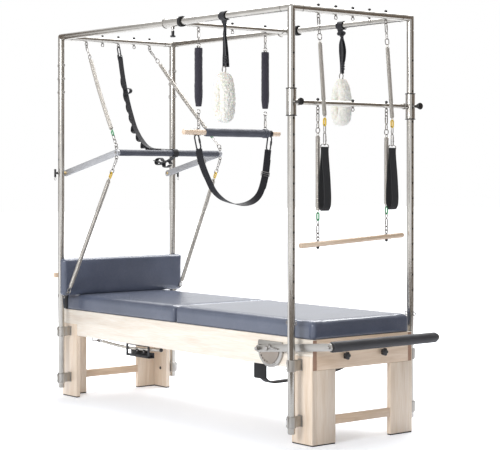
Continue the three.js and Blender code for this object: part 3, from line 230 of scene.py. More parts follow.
# Lacquered maple, whose grain runs along, across or up; the rails' palest tones are painted light, standing
# for the brighter light on their faces
MAPLE_ALONG = maple("lacquered_maple_rails", 0, ("#f2ece4", "#ede6dc", "#e4dace"))
MAPLE_ACROSS = maple("lacquered_maple_across", 1, ("#ecd8c3", "#e4cdb6", "#d6bca1"))
MAPLE_UP = maple("lacquered_maple_legs", 2, ("#f2e4d5", "#ecdccb", "#e0cdb8"))
# Sawn end grain drinks the lacquer, so it is darker and duller than the faces
END_GRAIN = speckled("maple_end_grain", "#ad8973", "#987661", 0.6, 700, 0.2, 0.0004)
# Stainless tube brushed along its length, with scratches about a millimetre apart
STEEL_ALONG, STEEL_ACROSS, STEEL_UP = (
    brushed(f"brushed_stainless_{way}", "#b2afaa", "#a5a29d", (0.15, 0.26), grain, 900)
    for grain, way in enumerate("xyz"))
# Flat steel with a coarser satin, and the polished plate of the foot bar, which is darker and sharper
PLATE = brushed("satin_steel_plate", "#a8a6a3", "#a5a29d", (0.3, 0.42), 0, 500)
QUADRANT = brushed("polished_quadrant_plate", "#8f877f", "#857c73", (0.16, 0.28), 0, 500)
# Satin anodised alloy, which is pale and has hardly any reflections
ALLOY = speckled("satin_alloy_bar", "#b4b5b8", "#acadb0", 0.5, 800, 0.1, 0.0002, {"Metallic": 0.35})
# Small hardware in bright chrome, springs in duller nickel and the warm rings of the bushes
CHROME = plated("chrome_plate", "#918e8b", 0.13)
NICKEL = plated("nickel_spring_wire", "#b6b2ac", 0.34)
BRONZE = plated("bronze_bush", "#dcc391", 0.34)
VINYL = upholstery_vinyl("upholstery_vinyl")
# Closed-cell foam skin: matt slate on the bars; the foot bar's copy is near black, which is painted shade for
# the shaded foot end
FOAM = speckled("foam_grip_skin", "#484b56", "#41444e", 0.62, 900, 0.25, 0.0004,
                {"Sheen Weight": 0.1, "Sheen Roughness": 0.4})
SHADED_FOAM = speckled("shaded_foot_grip_skin", "#37373b", "#313135", 0.6, 900, 0.25, 0.0004)
# Moulded nylon shines a little, rubber hardly, and powder coat has a visible orange peel
BLACK = speckled("black_moulded_nylon", "#1d1d1f", "#161618", 0.38, 500, 0.1, 0.0002)
RUBBER = speckled("black_rubber", "#1b1b1c", "#151516", 0.75, 400, 0.2, 0.0003)
POWDER = speckled("black_powder_coat", "#232427", "#1b1c1e", 0.5, 700, 0.3, 0.0003)
# Dipped plastic on the links that tell the springs' strengths apart
YELLOW = speckled("yellow_dipped_link", "#d9b52c", "#cba621", 0.4, 300, 0.1, 0.0002)
GREEN = speckled("green_dipped_link", "#3f9c66", "#388d5b", 0.4, 300, 0.1, 0.0002)
# Threads are drawn 2 to 3 mm apart, coarser than the real ones, so that the weave shows
WEBBING = woven("nylon_webbing", "#303036", "#17171a", 3.2)
COVER = woven("knitted_spring_cover", "#46444e", "#2c2a33", 2.6)
NEOPRENE = woven("padded_neoprene", "#222226", "#141416", 2.2)
FLEECE = wool("boiled_fleece")
# Shadow inside a drilled hole
HOLE_DARK = speckled("hole_shadow", "#0e0e0f", "#0a0a0b", 0.9, 200, 0, 0.0001)


# Shape helpers
EYE_RADIUS, EYE_WIRE, HOOK_WIRE = 9, 2.6, 2.6


def stand(base, way, turn=0.0):
    """A matrix that carries +Z to a direction and the origin to a point."""
    return (Matrix.Translation(Vector(base)) @ Vector(way).to_track_quat("Z", "Y").to_matrix().to_4x4()
            @ Matrix.Rotation(turn, 4, "Z"))


def merged(bm, part):
    """Adds a finished shape to a larger one."""
    mesh = bpy.data.meshes.new("part")
    part.to_mesh(mesh)
    part.free()
    bm.from_mesh(mesh)
    bpy.data.meshes.remove(mesh)


def lathe(bm, profile, base, way, sides=32):
    """A turned shape: spins a line of (radius, distance) pairs round an axis through its base."""
    part = bmesh.new()
    line = [part.verts.new((radius, 0, distance)) for radius, distance in profile]
    edges = [part.edges.new(pair) for pair in zip(line, line[1:])]
    bmesh.ops.spin(part, geom=line + edges, cent=(0, 0, 0), axis=(0, 0, 1), dvec=(0, 0, 0),
                   angle=2 * math.pi, steps=sides, use_merge=True, use_duplicate=False)
    bmesh.ops.remove_doubles(part, verts=part.verts, dist=0.001)
    bmesh.ops.transform(part, matrix=stand(base, way), verts=part.verts)
    merged(bm, part)


def rod(bm, a, b, radius, sides=32, edge=0.8):
    """A round bar with small chamfers."""
    a, b = Vector(a), Vector(b)
    length = (b - a).length
    lathe(bm, [(0, 0), (radius - edge, 0), (radius, edge), (radius, length - edge),
               (radius - edge, length), (0, length)], a, b - a, sides)


def pipe(bm, a, b, outer, inner, sides=32, edge=0.6):
    """A tube with an open bore."""
    a, b = Vector(a), Vector(b)
    length = (b - a).length
    lathe(bm, [(inner, 0), (outer - edge, 0), (outer, edge), (outer, length - edge),
               (outer - edge, length), (inner, length), (inner, 0)], a, b - a, sides)


def block(bm, low, high, edge=1.5, segments=2):
    """A bevelled block between two corners."""
    low, high = Vector(map(min, low, high)), Vector(map(max, low, high))
    size = high - low
    made = bmesh.ops.create_cube(bm, size=1, matrix=Matrix.Translation((low + high) / 2)
                                 @ Matrix.Diagonal((*size, 1)))["verts"]
    if edge:
        bmesh.ops.bevel(bm, geom=list({e for v in made for e in v.link_edges}), offset=edge,
                        offset_type="OFFSET", segments=segments, profile=0.5, affect="EDGES", material=-1)


def prism(bm, outline, origin, u, v, depth, edge=0.6, segments=1):
    """A flat outline in the plane of u and v, given a thickness along u x v and bevelled."""
    u, v = Vector(u), Vector(v)
    corners = [bm.verts.new(Vector(origin) + u * a + v * b) for a, b in outline]
    face = bm.faces.new(corners)
    sides = bmesh.ops.extrude_face_region(bm, geom=[face])["geom"]
    top = [g for g in sides if isinstance(g, bmesh.types.BMVert)]
    bmesh.ops.translate(bm, vec=u.cross(v) * depth, verts=top)
    if edge:
        rims = [e for e in {e for c in (*corners, *top) for e in c.link_edges}
                if len(e.link_faces) == 2 and e.calc_face_angle(0) > 0.6]
        bmesh.ops.bevel(bm, geom=rims, offset=edge, offset_type="OFFSET", segments=segments, profile=0.5,
                        affect="EDGES", material=-1, clamp_overlap=True)


def wire(bm, points, radius, closed=False, sides=8):
    """Round wire along a line of points."""
    line = bpy.data.curves.new("wire", "CURVE")
    line.dimensions = "3D"
    line.bevel_depth = radius
    line.bevel_resolution = (sides - 4) // 2
    line.use_fill_caps = True
    spline = line.splines.new("POLY")
    spline.points.add(len(points) - 1)
    spline.points.foreach_set("co", [c for p in points for c in (*p, 1)])
    spline.use_cyclic_u = closed
    holder = bpy.data.objects.new("wire", line)
    mesh = bpy.data.meshes.new_from_object(holder)
    bm.from_mesh(mesh)
    bpy.data.objects.remove(holder)
    bpy.data.curves.remove(line)
    bpy.data.meshes.remove(mesh)


def ring_at(bm, centre, u, v, radius=EYE_RADIUS, gauge=EYE_WIRE, count=24):
    """A round ring of wire in the plane of u and v."""
    turns = [2 * math.pi * i / count for i in range(count)]
    wire(bm, [Vector(centre) + u * (math.cos(a) * radius) + v * (math.sin(a) * radius) for a in turns],
         gauge, True, 10)


def smooth_line(points, steps):
    """Points along a smooth curve through the given ones (Catmull-Rom)."""
    points = [Vector(p) for p in points]
    ends = [2 * points[0] - points[1], *points, 2 * points[-1] - points[-2]]
    line = []
    for a, b, c, d in zip(ends, ends[1:], ends[2:], ends[3:]):
        for i in range(steps):
            t = i / steps
            line.append(0.5 * (2 * b + (c - a) * t + (2 * a - 5 * b + 4 * c - d) * t * t
                               + (3 * b - a - 3 * c + d) * t ** 3))
    return [*line, points[-1]]


def oval(centre, long_way, side, length, width, count=24):
    """Closed points of an oblong link; length and width are between the centres of its wires."""
    stretch = (length - width) / 2
    spots = []
    for i in range(count):
        turn = 2 * math.pi * (i + 0.5) / count
        lift = math.sin(turn)
        spots.append(Vector(centre) + side * (math.cos(turn) * width / 2)
                     + long_way * (lift * width / 2 + math.copysign(stretch, lift)))
    return spots


def strap(bm, line, across, thickness):
    """Flat webbing along a line; across gives half its width, as one vector or one for each point."""
    acrosses = across if isinstance(across, list) else [across] * len(line)
    rails = [[bm.verts.new(p + a * way) for p, a in zip(line, acrosses)] for way in (-1, 1)]
    for left, right, after_right, after_left in zip(rails[0], rails[1], rails[1][1:], rails[0][1:]):
        bm.faces.new((left, right, after_right, after_left))
    faces = list({f for v in rails[0] for f in v.link_faces})
    bmesh.ops.recalc_face_normals(bm, faces=faces)
    bmesh.ops.solidify(bm, geom=faces, thickness=thickness)


def placed(bm, name):
    """An object of the scene from a shape made in table millimetres."""
    bmesh.ops.transform(bm, matrix=TO_ROW, verts=bm.verts)
    mesh = bpy.data.meshes.new(name)
    bm.to_mesh(mesh)
    bm.free()
    piece = bpy.data.objects.new(name, mesh)
    scene.collection.objects.link(piece)
    return piece


def shown(bm, name, material, body, stands_for=(), angle=35):
    """Puts a finished shape into the scene, on its body, in place of CAD nodes."""
    bmesh.ops.recalc_face_normals(bm, faces=bm.faces)
    piece = placed(bm, name)
    piece.data.materials.append(material)
    piece.data.shade_smooth()
    piece.data.set_sharp_from_angle(angle=math.radians(angle))
    if isinstance(body, str):
        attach(piece, body)
    else:
        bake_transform(piece)
    if stands_for:
        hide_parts(*([stands_for] if isinstance(stands_for, str) else stands_for))
    return piece


def carved(solid, tool):
    """The solid less the tool, as a new bmesh."""
    holders = []
    for bm in (solid, tool):
        bmesh.ops.recalc_face_normals(bm, faces=bm.faces)
        mesh = bpy.data.meshes.new("carving")
        bm.to_mesh(mesh)
        bm.free()
        holders.append(bpy.data.objects.new("carving", mesh))
        scene.collection.objects.link(holders[-1])
    cutter = holders[0].modifiers.new("cut", "BOOLEAN")
    cutter.operation, cutter.object, cutter.solver = "DIFFERENCE", holders[1], "EXACT"
    result = holders[0].evaluated_get(bpy.context.evaluated_depsgraph_get()).to_mesh()
    bm = bmesh.new()
    bm.from_mesh(result)
    for holder in holders:
        mesh = holder.data
        bpy.data.objects.remove(holder)
        bpy.data.meshes.remove(mesh)
    return bm


# Maple bed
LEG_WIDTH, LEG_LAP, LAP_TOP = 156, 15, 443
RUBBER_FOOT, FIT = 6, 0.3


def leg(end, end_word, outer_x, side, side_word):
    """Two boards mitred into an L, the outer one lapped over the side rail."""
    outer_y = BED_HALF + 3
    name = f"leg_{end_word}_{side_word}"
    under_rail = RAIL_LOW - 0.5

    def at(x, y, z):
        """A point by its distances in from the leg's outer corner, and its height."""
        return Vector((outer_x - end * x, side * (outer_y - y), z))

    bm = bmesh.new()
    block(bm, at(0, 0, RUBBER_FOOT + FIT), at(LEG_WIDTH, LEG_LAP, LAP_TOP), 1.2)
    block(bm, at(0, LEG_LAP - 0.4, RUBBER_FOOT + 0.6), at(LEG_WIDTH, BOARD, under_rail), 0.5)
    shown(bm, f"{name}_side_board", MAPLE_UP, "frame", name)
    bm = bmesh.new()
    block(bm, at(0, BOARD + 0.4, RUBBER_FOOT + FIT), at(BOARD, LEG_WIDTH, under_rail), 1.2)
    shown(bm, f"{name}_end_board", MAPLE_UP, "frame")
    bm = bmesh.new()
    inset = 1.5
    block(bm, at(inset, inset, 0), at(LEG_WIDTH - inset, BOARD - inset, RUBBER_FOOT), 1)
    block(bm, at(inset, BOARD, 0), at(BOARD - inset, LEG_WIDTH - inset, RUBBER_FOOT), 1)
    shown(bm, f"{name}_rubber_feet", RUBBER, "frame")
    bm = bmesh.new()
    lathe(bm, [(0, 0), (9, 0), (9, 2), (7, 4), (0, 5)], (end * POST_X, side * (outer_y - BOARD), 120),
          -Y * side, 20)
    shown(bm, f"{name}_bolt_cap", BLACK, "frame")


def side_rail(side, word):
    """A long board with a housing at each end for the leg's lap, and end grain on its sawn ends."""
    bm = bmesh.new()
    block(bm, (HEAD_END, side * (BED_HALF - BOARD), RAIL_LOW), (FOOT_END, side * BED_HALF, BED_TOP), 1.6)
    housings = bmesh.new()
    lap = LEG_WIDTH + FIT
    for x0, x1 in ((HEAD_END - 5, HEAD_END + lap), (FOOT_END - lap, FOOT_END + 5)):
        block(housings, (x0, side * (BED_HALF - LEG_LAP + 3 - FIT), RAIL_LOW - 5),
              (x1, side * (BED_HALF + 5), LAP_TOP + FIT), 0)
    shown(carved(bm, housings), f"side_rail_{word}_board", MAPLE_ALONG, "frame", f"side_rail_{word}")
    bm = bmesh.new()
    for end, _, x in ENDS:
        block(bm, (x + end * 0.1, side * (BED_HALF - BOARD + 0.5), RAIL_LOW + 1),
              (x - end * 0.6, side * (BED_HALF - 1.5), BED_TOP - 2), 0)
    shown(bm, f"side_rail_{word}_end_grain", END_GRAIN, "frame")


def cross_boards(end, word, outer):
    """The apron between the side rails and the stretcher between the legs, at one end."""
    apron_half = BED_HALF - BOARD - FIT
    bm = bmesh.new()
    block(bm, (outer, -apron_half, RAIL_LOW + FIT), (outer - end * BOARD, apron_half, BED_TOP), 1.2)
    shown(bm, f"{word}_apron_board", MAPLE_ACROSS, "frame", f"{word}_apron")
    stretcher_half = BED_HALF + 3 - LEG_WIDTH - FIT
    bm = bmesh.new()
    block(bm, (outer - end * 2, -stretcher_half, 98), (outer - end * BOARD, stretcher_half, 142), 2)
    shown(bm, f"{word}_stretcher_board", MAPLE_ACROSS, "frame", f"{word}_stretcher")


for way, word in SIDES:
    side_rail(way, word)
    for end in ENDS:
        leg(*end, way, word)
for end in ENDS:
    cross_boards(*end)
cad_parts["bed_deck"].data.materials.clear()
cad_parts["bed_deck"].data.materials.append(MAPLE_ALONG)


# Upholstery
def evaluated(piece):
    """A mesh of its own from an object with its modifiers applied, which are then cleared."""
    mesh = bpy.data.meshes.new_from_object(piece.evaluated_get(bpy.context.evaluated_depsgraph_get()))
    piece.modifiers.clear()
    return mesh


def even_grid(bm, name, spacing):
    """An object of a closed shape, remeshed to even faces with the given spacing in millimetres."""
    piece = placed(bm, name)
    remesh = piece.modifiers.new("even_grid", "REMESH")
    remesh.mode, remesh.voxel_size = "VOXEL", spacing * MM
    piece.data = evaluated(piece)
    return piece


def swell(cushion, most):
    """Blows a cushion up as cloth, and holds each point within so many millimetres of where it was."""
    start = [v.co.copy() for v in cushion.data.vertices]
    cloth = cushion.modifiers.new("cloth", "CLOTH")
    cloth.settings.use_pressure = True
    cloth.settings.uniform_pressure_force = 4
    cloth.settings.effector_weights.gravity = 0
    cloth.settings.tension_stiffness = cloth.settings.compression_stiffness = 40
    cloth.settings.shrink_min = -0.01
    last = 20
    cloth.point_cache.frame_start, cloth.point_cache.frame_end = 1, last
    for step in range(1, last + 1):
        scene.frame_set(step)
    cushion.data = evaluated(cushion)
    for v, before in zip(cushion.data.vertices, start):
        move = v.co - before
        if move.length > most * MM:
            v.co = before + move * (most * MM / move.length)
    scene.frame_set(1)


def padded_piece(piece, material, body, node):
    piece.data.materials.append(material)
    piece.data.shade_smooth()
    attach(piece, body)
    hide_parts(node)


def vinyl_cushion(name, low, high, round_edge, swelling, spacing, node, sunk=0):
    """A foam cushion under vinyl: a rounded box, swollen as cloth, with its underside cut flat.
    The rounding starts sunk millimetres below the underside, so that the lower edge stays crisp."""
    low, high = Vector(low), Vector(high)
    bm = bmesh.new()
    block(bm, low - Z * sunk, high, round_edge, 4)
    bmesh.ops.recalc_face_normals(bm, faces=bm.faces)
    cushion = even_grid(bm, name, spacing)
    swell(cushion, swelling)
    underside = (TO_ROW @ low).z
    for v in cushion.data.vertices:
        v.co.z = max(v.co.z, underside)
    padded_piece(cushion, VINYL, "frame", node)


MATTRESS_LOW, MATTRESS_HIGH = BED_TOP + 0.3, BED_TOP + 90.3
MATTRESS_EDGE = BED_HALF - 3
vinyl_cushion("mattress_head_section", (HEAD_END + 3, -MATTRESS_EDGE, MATTRESS_LOW),
              (-22, MATTRESS_EDGE, MATTRESS_HIGH), 24, 5, 8, "mattress_head", 16)
vinyl_cushion("mattress_foot_section", (-18, -MATTRESS_EDGE, MATTRESS_LOW),
              (FOOT_END - 3, MATTRESS_EDGE, MATTRESS_HIGH), 24, 5, 8, "mattress_foot", 16)
PAD_HALF, PAD_LOW, PAD_HIGH = 445, 617, 846
vinyl_cushion("back_pad_cushion", (-POST_X + TUBE + 1, -PAD_HALF, PAD_LOW), (-1000, PAD_HALF, PAD_HIGH),
              16, 4, 6, "back_pad")

BATTEN_OUT, BATTEN_Z = -1108, 740
bm = bmesh.new()
block(bm, (BATTEN_OUT, -PAD_HALF - 2, BATTEN_Z - 14), (-POST_X - TUBE - 0.3, PAD_HALF + 2, BATTEN_Z + 14), 2)
shown(bm, "back_pad_batten_board", MAPLE_ACROSS, "frame", "back_pad_batten")
# Dark rubber blocks at the two head corners of the mattress are painted shade, standing for the shadow that
# the back pad casts there
bolts, head_corner_shade_blocks = bmesh.new(), bmesh.new()
for way, _ in SIDES:
    y = way * 376
    rod(bolts, (BATTEN_OUT - 4, y, BATTEN_Z), (-1049, y, BATTEN_Z), 5, 16)
    lathe(bolts, [(0, 0), (8, 0), (8, 3), (5, 6), (0, 6.5)], (BATTEN_OUT, y, BATTEN_Z), -X, 16)
    block(head_corner_shade_blocks, (HEAD_END + 1, way * (BED_HALF - 34), BED_TOP + 1),
          (HEAD_END + 44, way * (BED_HALF - 0.5), PAD_LOW), 9, 3)
shown(bolts, "back_pad_bolts", CHROME, "frame")
shown(head_corner_shade_blocks, "mattress_head_corner_painted_shade", RUBBER, "frame")


# Tube frame
def seamed_tube(bm, a, b, radius, seams=()):
    """A smooth tube with fine grooves where two lengths meet."""
    a, b = Vector(a), Vector(b)
    length = (b - a).length
    rim = [(radius - 6, 0), (radius - 3, 0.7), (radius - 0.9, 2.8), (radius, 6)]
    profile = [(0, 0), *rim]
    for seam in seams:
        profile += [(radius, seam - 2), (radius - 2.4, seam - 1.5), (radius - 2.4, seam + 1.5),
                    (radius, seam + 2)]
    lathe(bm, profile + [(r, length - d) for r, d in reversed(rim)] + [(0, length)], a, b - a, 48)


def eyebolt(chrome, cap, centre, radius, up=1):
    """An eye ring and nut under a bar of the given radius, and a domed cap nut on top."""
    centre, down = Vector(centre), Z * -up
    lathe(chrome, [(0, radius - 2), (7, radius - 2), (7, radius + 3), (4, radius + 4), (3, radius + 6),
                   (0, radius + 6)], centre, down, 6)
    ring_at(chrome, centre + down * (radius + 5 + EYE_RADIUS), Y, Z, count=20)
    lathe(cap, [(0, radius - 2), (8, radius - 2), (8, radius + 5), (6.5, radius + 9), (3.5, radius + 11.5),
                (0, radius + 12)], centre, -down, 20)


def post_holes(bm, x, y, way, heights):
    """Carves drilled holes on one side of a post; gives it back with dark plugs in them, which are painted
    shadow.
    """
    tool, dark = bmesh.new(), bmesh.new()
    for z in heights:
        centre = Vector((x, y, z))
        rod(tool, centre + way * (TUBE - 9), centre + way * (TUBE + 5), 5.6, 20, 0)
        lathe(dark, [(0, 10.2), (5.5, 10.2), (5.5, 17.6), (4.2, 17.6), (4.2, 11.4), (0, 11.4)], centre, way,
              20)
    return carved(bm, tool), dark


def clamp(metal, end, side, z):
    """A split steel collar on a plate that is screwed to the leg."""
    x, y, face = end * POST_X, side * POST_Y, side * (BED_HALF + 3.3)
    lug = y + side * TUBE
    block(metal, (x - 26, face, z - 29), (x + 8, face + side * 4, z + 29), 1.5)
    block(metal, (x - 16, face + side * 3, z - 27), (x + 4, y - side * TUBE, z + 27), 2.5)
    pipe(metal, (x, y, z - 29), (x, y, z + 29), TUBE + 5, TUBE + 0.4, 40, 2)
    block(metal, (x - 2, lug, z - 27), (x + 9, lug + side * 11, z + 27), 2)
    for dz in (-16, 16):
        lathe(metal, [(0, 0), (4.5, 0), (4.5, 4), (3, 6), (0, 6)], (x - 2, lug + side * 6, z + dz), -X, 12)


POST_LOW, CLAMP_LOW, CLAMP_HIGH, BED_EYE_Z = 60, 120, 400, 613
CROSSBAR_Z, PUSH_PIVOT_Z, TOP_EYE_Z = 1710, 1358, 2009
RAIL_OVER, SEAM = 6, 67    # how far a tube passes the corner, and the groove's distance from it


def post(end, end_word, side, side_word):
    """A drilled upright with its two clamps and the pairs of eyes for springs."""
    name = f"post_{end_word}_{side_word}"
    x, y = end * POST_X, side * POST_Y
    bm = bmesh.new()
    seamed_tube(bm, (x, y, POST_LOW), (x, y, RAIL_Z + RAIL_OVER), TUBE, [RAIL_Z - SEAM - POST_LOW])
    if end > 0:
        holes, heading = [CROSSBAR_Z + HOLE_PITCH * k for k in range(-12, 4)], X
        eye_heights = [BED_EYE_Z]
    else:
        holes, heading = [PUSH_PIVOT_Z + HOLE_PITCH * k for k in range(1, 4)], Y * side
        eye_heights = [BED_EYE_Z, *(TOP_EYE_Z - HOLE_PITCH * k for k in range(3))]
    bm, dark = post_holes(bm, x, y, heading, holes)
    shown(bm, f"{name}_tube", STEEL_UP, "frame", name)
    shown(dark, f"{name}_hole_shadows", HOLE_DARK, "frame")
    bm = bmesh.new()
    clamp(bm, end, side, CLAMP_HIGH)
    rod(bm, (x, y, CLAMP_HIGH - 29), (x, y, CLAMP_HIGH - 24), 6, 12)
    clamp(bm, end, side, CLAMP_LOW)
    shown(bm, f"{name}_clamps", PLATE, "frame")
    bm = bmesh.new()
    for z in eye_heights:
        for way in (-1, 1):
            lathe(bm, [(0, 0), (4, 0), (4, 3), (0, 3)], (x + way * (TUBE - 0.5), y, z), X * way, 12)
            ring_at(bm, (x + way * (TUBE + 10.5), y, z), X, Z, gauge=2.4, count=20)
    shown(bm, f"{name}_eyes", CHROME, "frame")


def top_rail(bm, name, middle, way, half, metal):
    """Adds the tube between two corners, with the grooves of its corner joints, and shows the rail."""
    over = way * (half + RAIL_OVER)
    seamed_tube(bm, middle - over, middle + over, TUBE, [SEAM + RAIL_OVER, 2 * half - SEAM + RAIL_OVER])
    shown(bm, f"{name}_tube", metal, "frame", name)


for way, word in SIDES:
    for end in ENDS:
        post(*end[:2], way, word)
    bm = bmesh.new()
    middle = Vector((0, way * POST_Y, RAIL_Z))
    for end, _, _ in ENDS:
        bmesh.ops.create_uvsphere(bm, u_segments=40, v_segments=24, radius=TUBE + 0.3,
                                  matrix=Matrix.Translation(middle + X * end * POST_X))
    top_rail(bm, f"top_rail_{word}", middle, X, POST_X, STEEL_ALONG)
for end, word, _ in ENDS:
    chrome, caps = bmesh.new(), bmesh.new()
    middle = Vector((end * POST_X, 0, RAIL_Z))
    top_rail(bmesh.new(), f"top_rail_{word}", middle, Y, POST_Y, STEEL_ACROSS)
    for k in range(-2, 3):
        eyebolt(chrome, caps, middle + Y * k * 118, TUBE)
    shown(chrome, f"top_rail_{word}_eyes", CHROME, "frame")
    shown(caps, f"top_rail_{word}_cap_nuts", BLACK, "frame")


# Sliding crossbar and carrier
SLEEVE, SLEEVE_HALF, HANGER_Y = 25, 65, 240


def slider(name, centre, axis, radius, body, ring_finish, plungers):
    """A bar between two sleeves with end rings, weld rings, collars for plungers and eyebolts."""
    steel, rings, chrome, caps = (bmesh.new() for _ in range(4))
    reach = Y * (POST_Y - TUBE - 4)
    rod(steel, centre - reach, centre + reach, radius, 40)
    for way in (-1, 1):
        spot = centre + Y * way * POST_Y
        sleeve, bores = bmesh.new(), bmesh.new()
        pipe(sleeve, spot - axis * SLEEVE_HALF, spot + axis * SLEEVE_HALF, SLEEVE, TUBE + 0.6, 48, 1)
        for place, heading in plungers:
            if place == spot:
                rod(bores, spot + heading * 14, spot + heading * 30, 3.6, 20, 0)
        merged(steel, carved(sleeve, bores))
        weld = centre + Y * way * (POST_Y - 48)
        pipe(steel, weld - Y * 4, weld + Y * 4, radius + 3.5, radius - 1, 32, 1)
        for top in (-1, 1):
            lip = spot + axis * top * (SLEEVE_HALF + 2.5)
            pipe(rings, lip - axis * 2.5, lip + axis * 2.5, SLEEVE + 3, TUBE + 0.5, 48, 1)
    for y in (-HANGER_Y, 0, HANGER_Y):
        eyebolt(chrome, caps, centre + Y * y, radius)
    for place, heading in plungers:
        lathe(chrome, [(4.5, 23), (9, 23), (9, 35), (7.5, 37), (4.5, 37)], place, heading, 24)
    shown(steel, f"{name}_bar", STEEL_ACROSS, body, name)
    shown(rings, f"{name}_end_rings", ring_finish, body)
    shown(chrome, f"{name}_eyes", CHROME, body)
    shown(caps, f"{name}_cap_nuts", BLACK, body)


CONE_GRIP = [(0, 45), (7.5, 45), (8.5, 48), (16, 67), (18.5, 71), (18.5, 75), (16, 78.5), (9, 80.5),
             (0, 81.3)]
DISC_GRIP = [(0, 45), (8, 45), (8.6, 47), (8, 66), (9, 69), (13.5, 70.5), (15, 73), (15, 77), (13, 80),
             (0, 81.3)]


def plunger(name, spot, way, body, grip):
    """A spring plunger: bright stem and a black moulded grip."""
    bm = bmesh.new()
    lathe(bm, [(0, 20.3), (3, 20.3), (3, 43.6), (6.5, 44), (6.5, 46), (5, 47), (5, 52), (0, 52)], spot, way,
          20)
    shown(bm, f"{name}_stem", CHROME, body)
    bm = bmesh.new()
    lathe(bm, grip, spot, way, 32)
    shown(bm, f"{name}_grip", BLACK, body, name)


crossbar = Vector((POST_X, 0, CROSSBAR_Z))
sleeves = [crossbar + Y * way * POST_Y for way, _ in SIDES]
slider("crossbar", crossbar, Z, 13.5, "tower", BLACK, [(spot, X) for spot in sleeves])
for (_, word), spot in zip(SIDES, sleeves):
    plunger(f"crossbar_knob_{word}", spot, X, f"tower_knob_{word}", CONE_GRIP)
carrier = Vector((74, 0, RAIL_Z))
near_sleeve = carrier - Y * POST_Y
slider("carrier", carrier, X, 15, "carrier", STEEL_ALONG, [(near_sleeve, -Z)])
bm = bmesh.new()
for way, _ in SIDES:
    spot = carrier + Y * way * POST_Y
    pipe(bm, spot + X * 71, spot + X * 92, TUBE + 10, TUBE + 0.5, 40, 2)
shown(bm, "carrier_rubber_stops", RUBBER, "carrier")
plunger("carrier_knob", near_sleeve, -Z, "carrier_knob", DISC_GRIP)


# Springs and the hardware they hang on
def coil(bm, a, b, radius=12.4, gauge=2, pitch=3.9, bow=Vector()):
    """A closely wound tension spring whose last turns draw in a little; a slack one bows sideways."""
    a, b = Vector(a), Vector(b)
    length = (b - a).length
    steps = round(length / pitch) * 10
    across = stand((0, 0, 0), b - a)
    line = []
    for i in range(steps + 1):
        share = i / steps
        inset = min(1, min(share, 1 - share) * length / 7)
        reach = (radius - gauge) * (0.55 + 0.45 * math.sin(inset * math.pi / 2))
        turn = i * math.pi / 5
        line.append(a.lerp(b, share) + bow * math.sin(share * math.pi)
                    + across @ Vector((math.cos(turn) * reach, math.sin(turn) * reach, 0)))
    wire(bm, line, gauge, sides=6)


def wound(bm, top, top_way, foot, foot_way, **turns):
    """A coil between two fittings, with a long end loop through each of them."""
    for (cursor, gauge, side), heading in ((top, top_way), (foot, foot_way)):
        mouth = cursor - heading * (gauge + 1.5)
        wire(bm, oval(mouth + heading * 9, heading, side, 18, 13), 1.7, True)
    coil(bm, top[0] + top_way * 11, foot[0] + foot_way * 11, **turns)


def snap_hook(bm, top, way, side, length):
    """A swivel snap hook: crook and sliding gate at one end, a turning barrel and a ring at the other."""
    crook = length * 0.58
    wire(bm, oval(top + way * crook / 2, way, side, crook, 15), HOOK_WIRE, True)
    gate = top + side * 7.5
    rod(bm, gate + way * crook * 0.28, gate + way * crook * 0.78, 3.5, 10, 0.5)
    thumb, out = gate + way * crook * 0.4, way.cross(side) * 6
    rod(bm, thumb - out, thumb + out, 1.6, 8, 0.3)
    lathe(bm, [(0, 0), (4.6, 0.5), (6, 3), (6, 8), (4.2, 10.5), (0, 11)], top + way * (crook - 3), way, 12)
    ring = length - crook - 6
    wire(bm, oval(top + way * (crook + 6 + ring / 2), way, side, ring, 13), 2.2, True)


# Radius of each fitting's wire, as its neighbours in the chain take it
FITTINGS = {"ring": 2.6, "snap": HOOK_WIRE, "link": 3.4, "tag": 4, "hook": HOOK_WIRE}


def fitting(shapes, kind, top, way, side, length, width=17):
    """One piece of a chain, from the middle of its upper wire, lying in the plane of way and side."""
    middle = top + way * length / 2
    if kind == "snap":
        snap_hook(shapes["hardware"], top, way, side, length)
    elif kind == "link":
        wire(shapes["link"], oval(middle, way, side, length, width - 1), 3.6, True, 10)
    elif kind == "tag":
        wire(shapes["link"], oval(middle, way, side, length, 15), 4.2, True, 10)
    elif kind == "hook":
        wire(shapes["hardware"], oval(middle, way, side, length, width - 3), HOOK_WIRE, True)
        rod(shapes["hardware"], middle - way * 7, middle + way * 7, 4.8, 12, 1)
    else:
        wire(shapes["hardware"], oval(middle, way, side, length, width), FITTINGS["ring"], True, 10)


def hang_on(shapes, cursor, gauge, way, side, items):
    """Hooks each item round the wire of the one before; gives the last wire's middle, gauge and side."""
    for kind, length, *width in items:
        top = cursor - way * (gauge + FITTINGS[kind] - 0.2)
        fitting(shapes, kind, top, way, side, length, *width)
        cursor, gauge, side = top + way * length, FITTINGS[kind], way.cross(side).normalized()
    return cursor, gauge, side


def chain_shapes():
    """Empty shapes for the three finishes of a spring and its fittings."""
    return {kind: bmesh.new() for kind in ("coil", "hardware", "link")}


def show_chain(shapes, name, body, node, tint):
    """Shows a spring's coil and hooks, and its coloured link where it has one."""
    shown(shapes["coil"], f"{name}_coil", NICKEL, body, node)
    shown(shapes["hardware"], f"{name}_hooks", CHROME, body)
    shown(shapes["link"], f"{name}_link", tint, body)


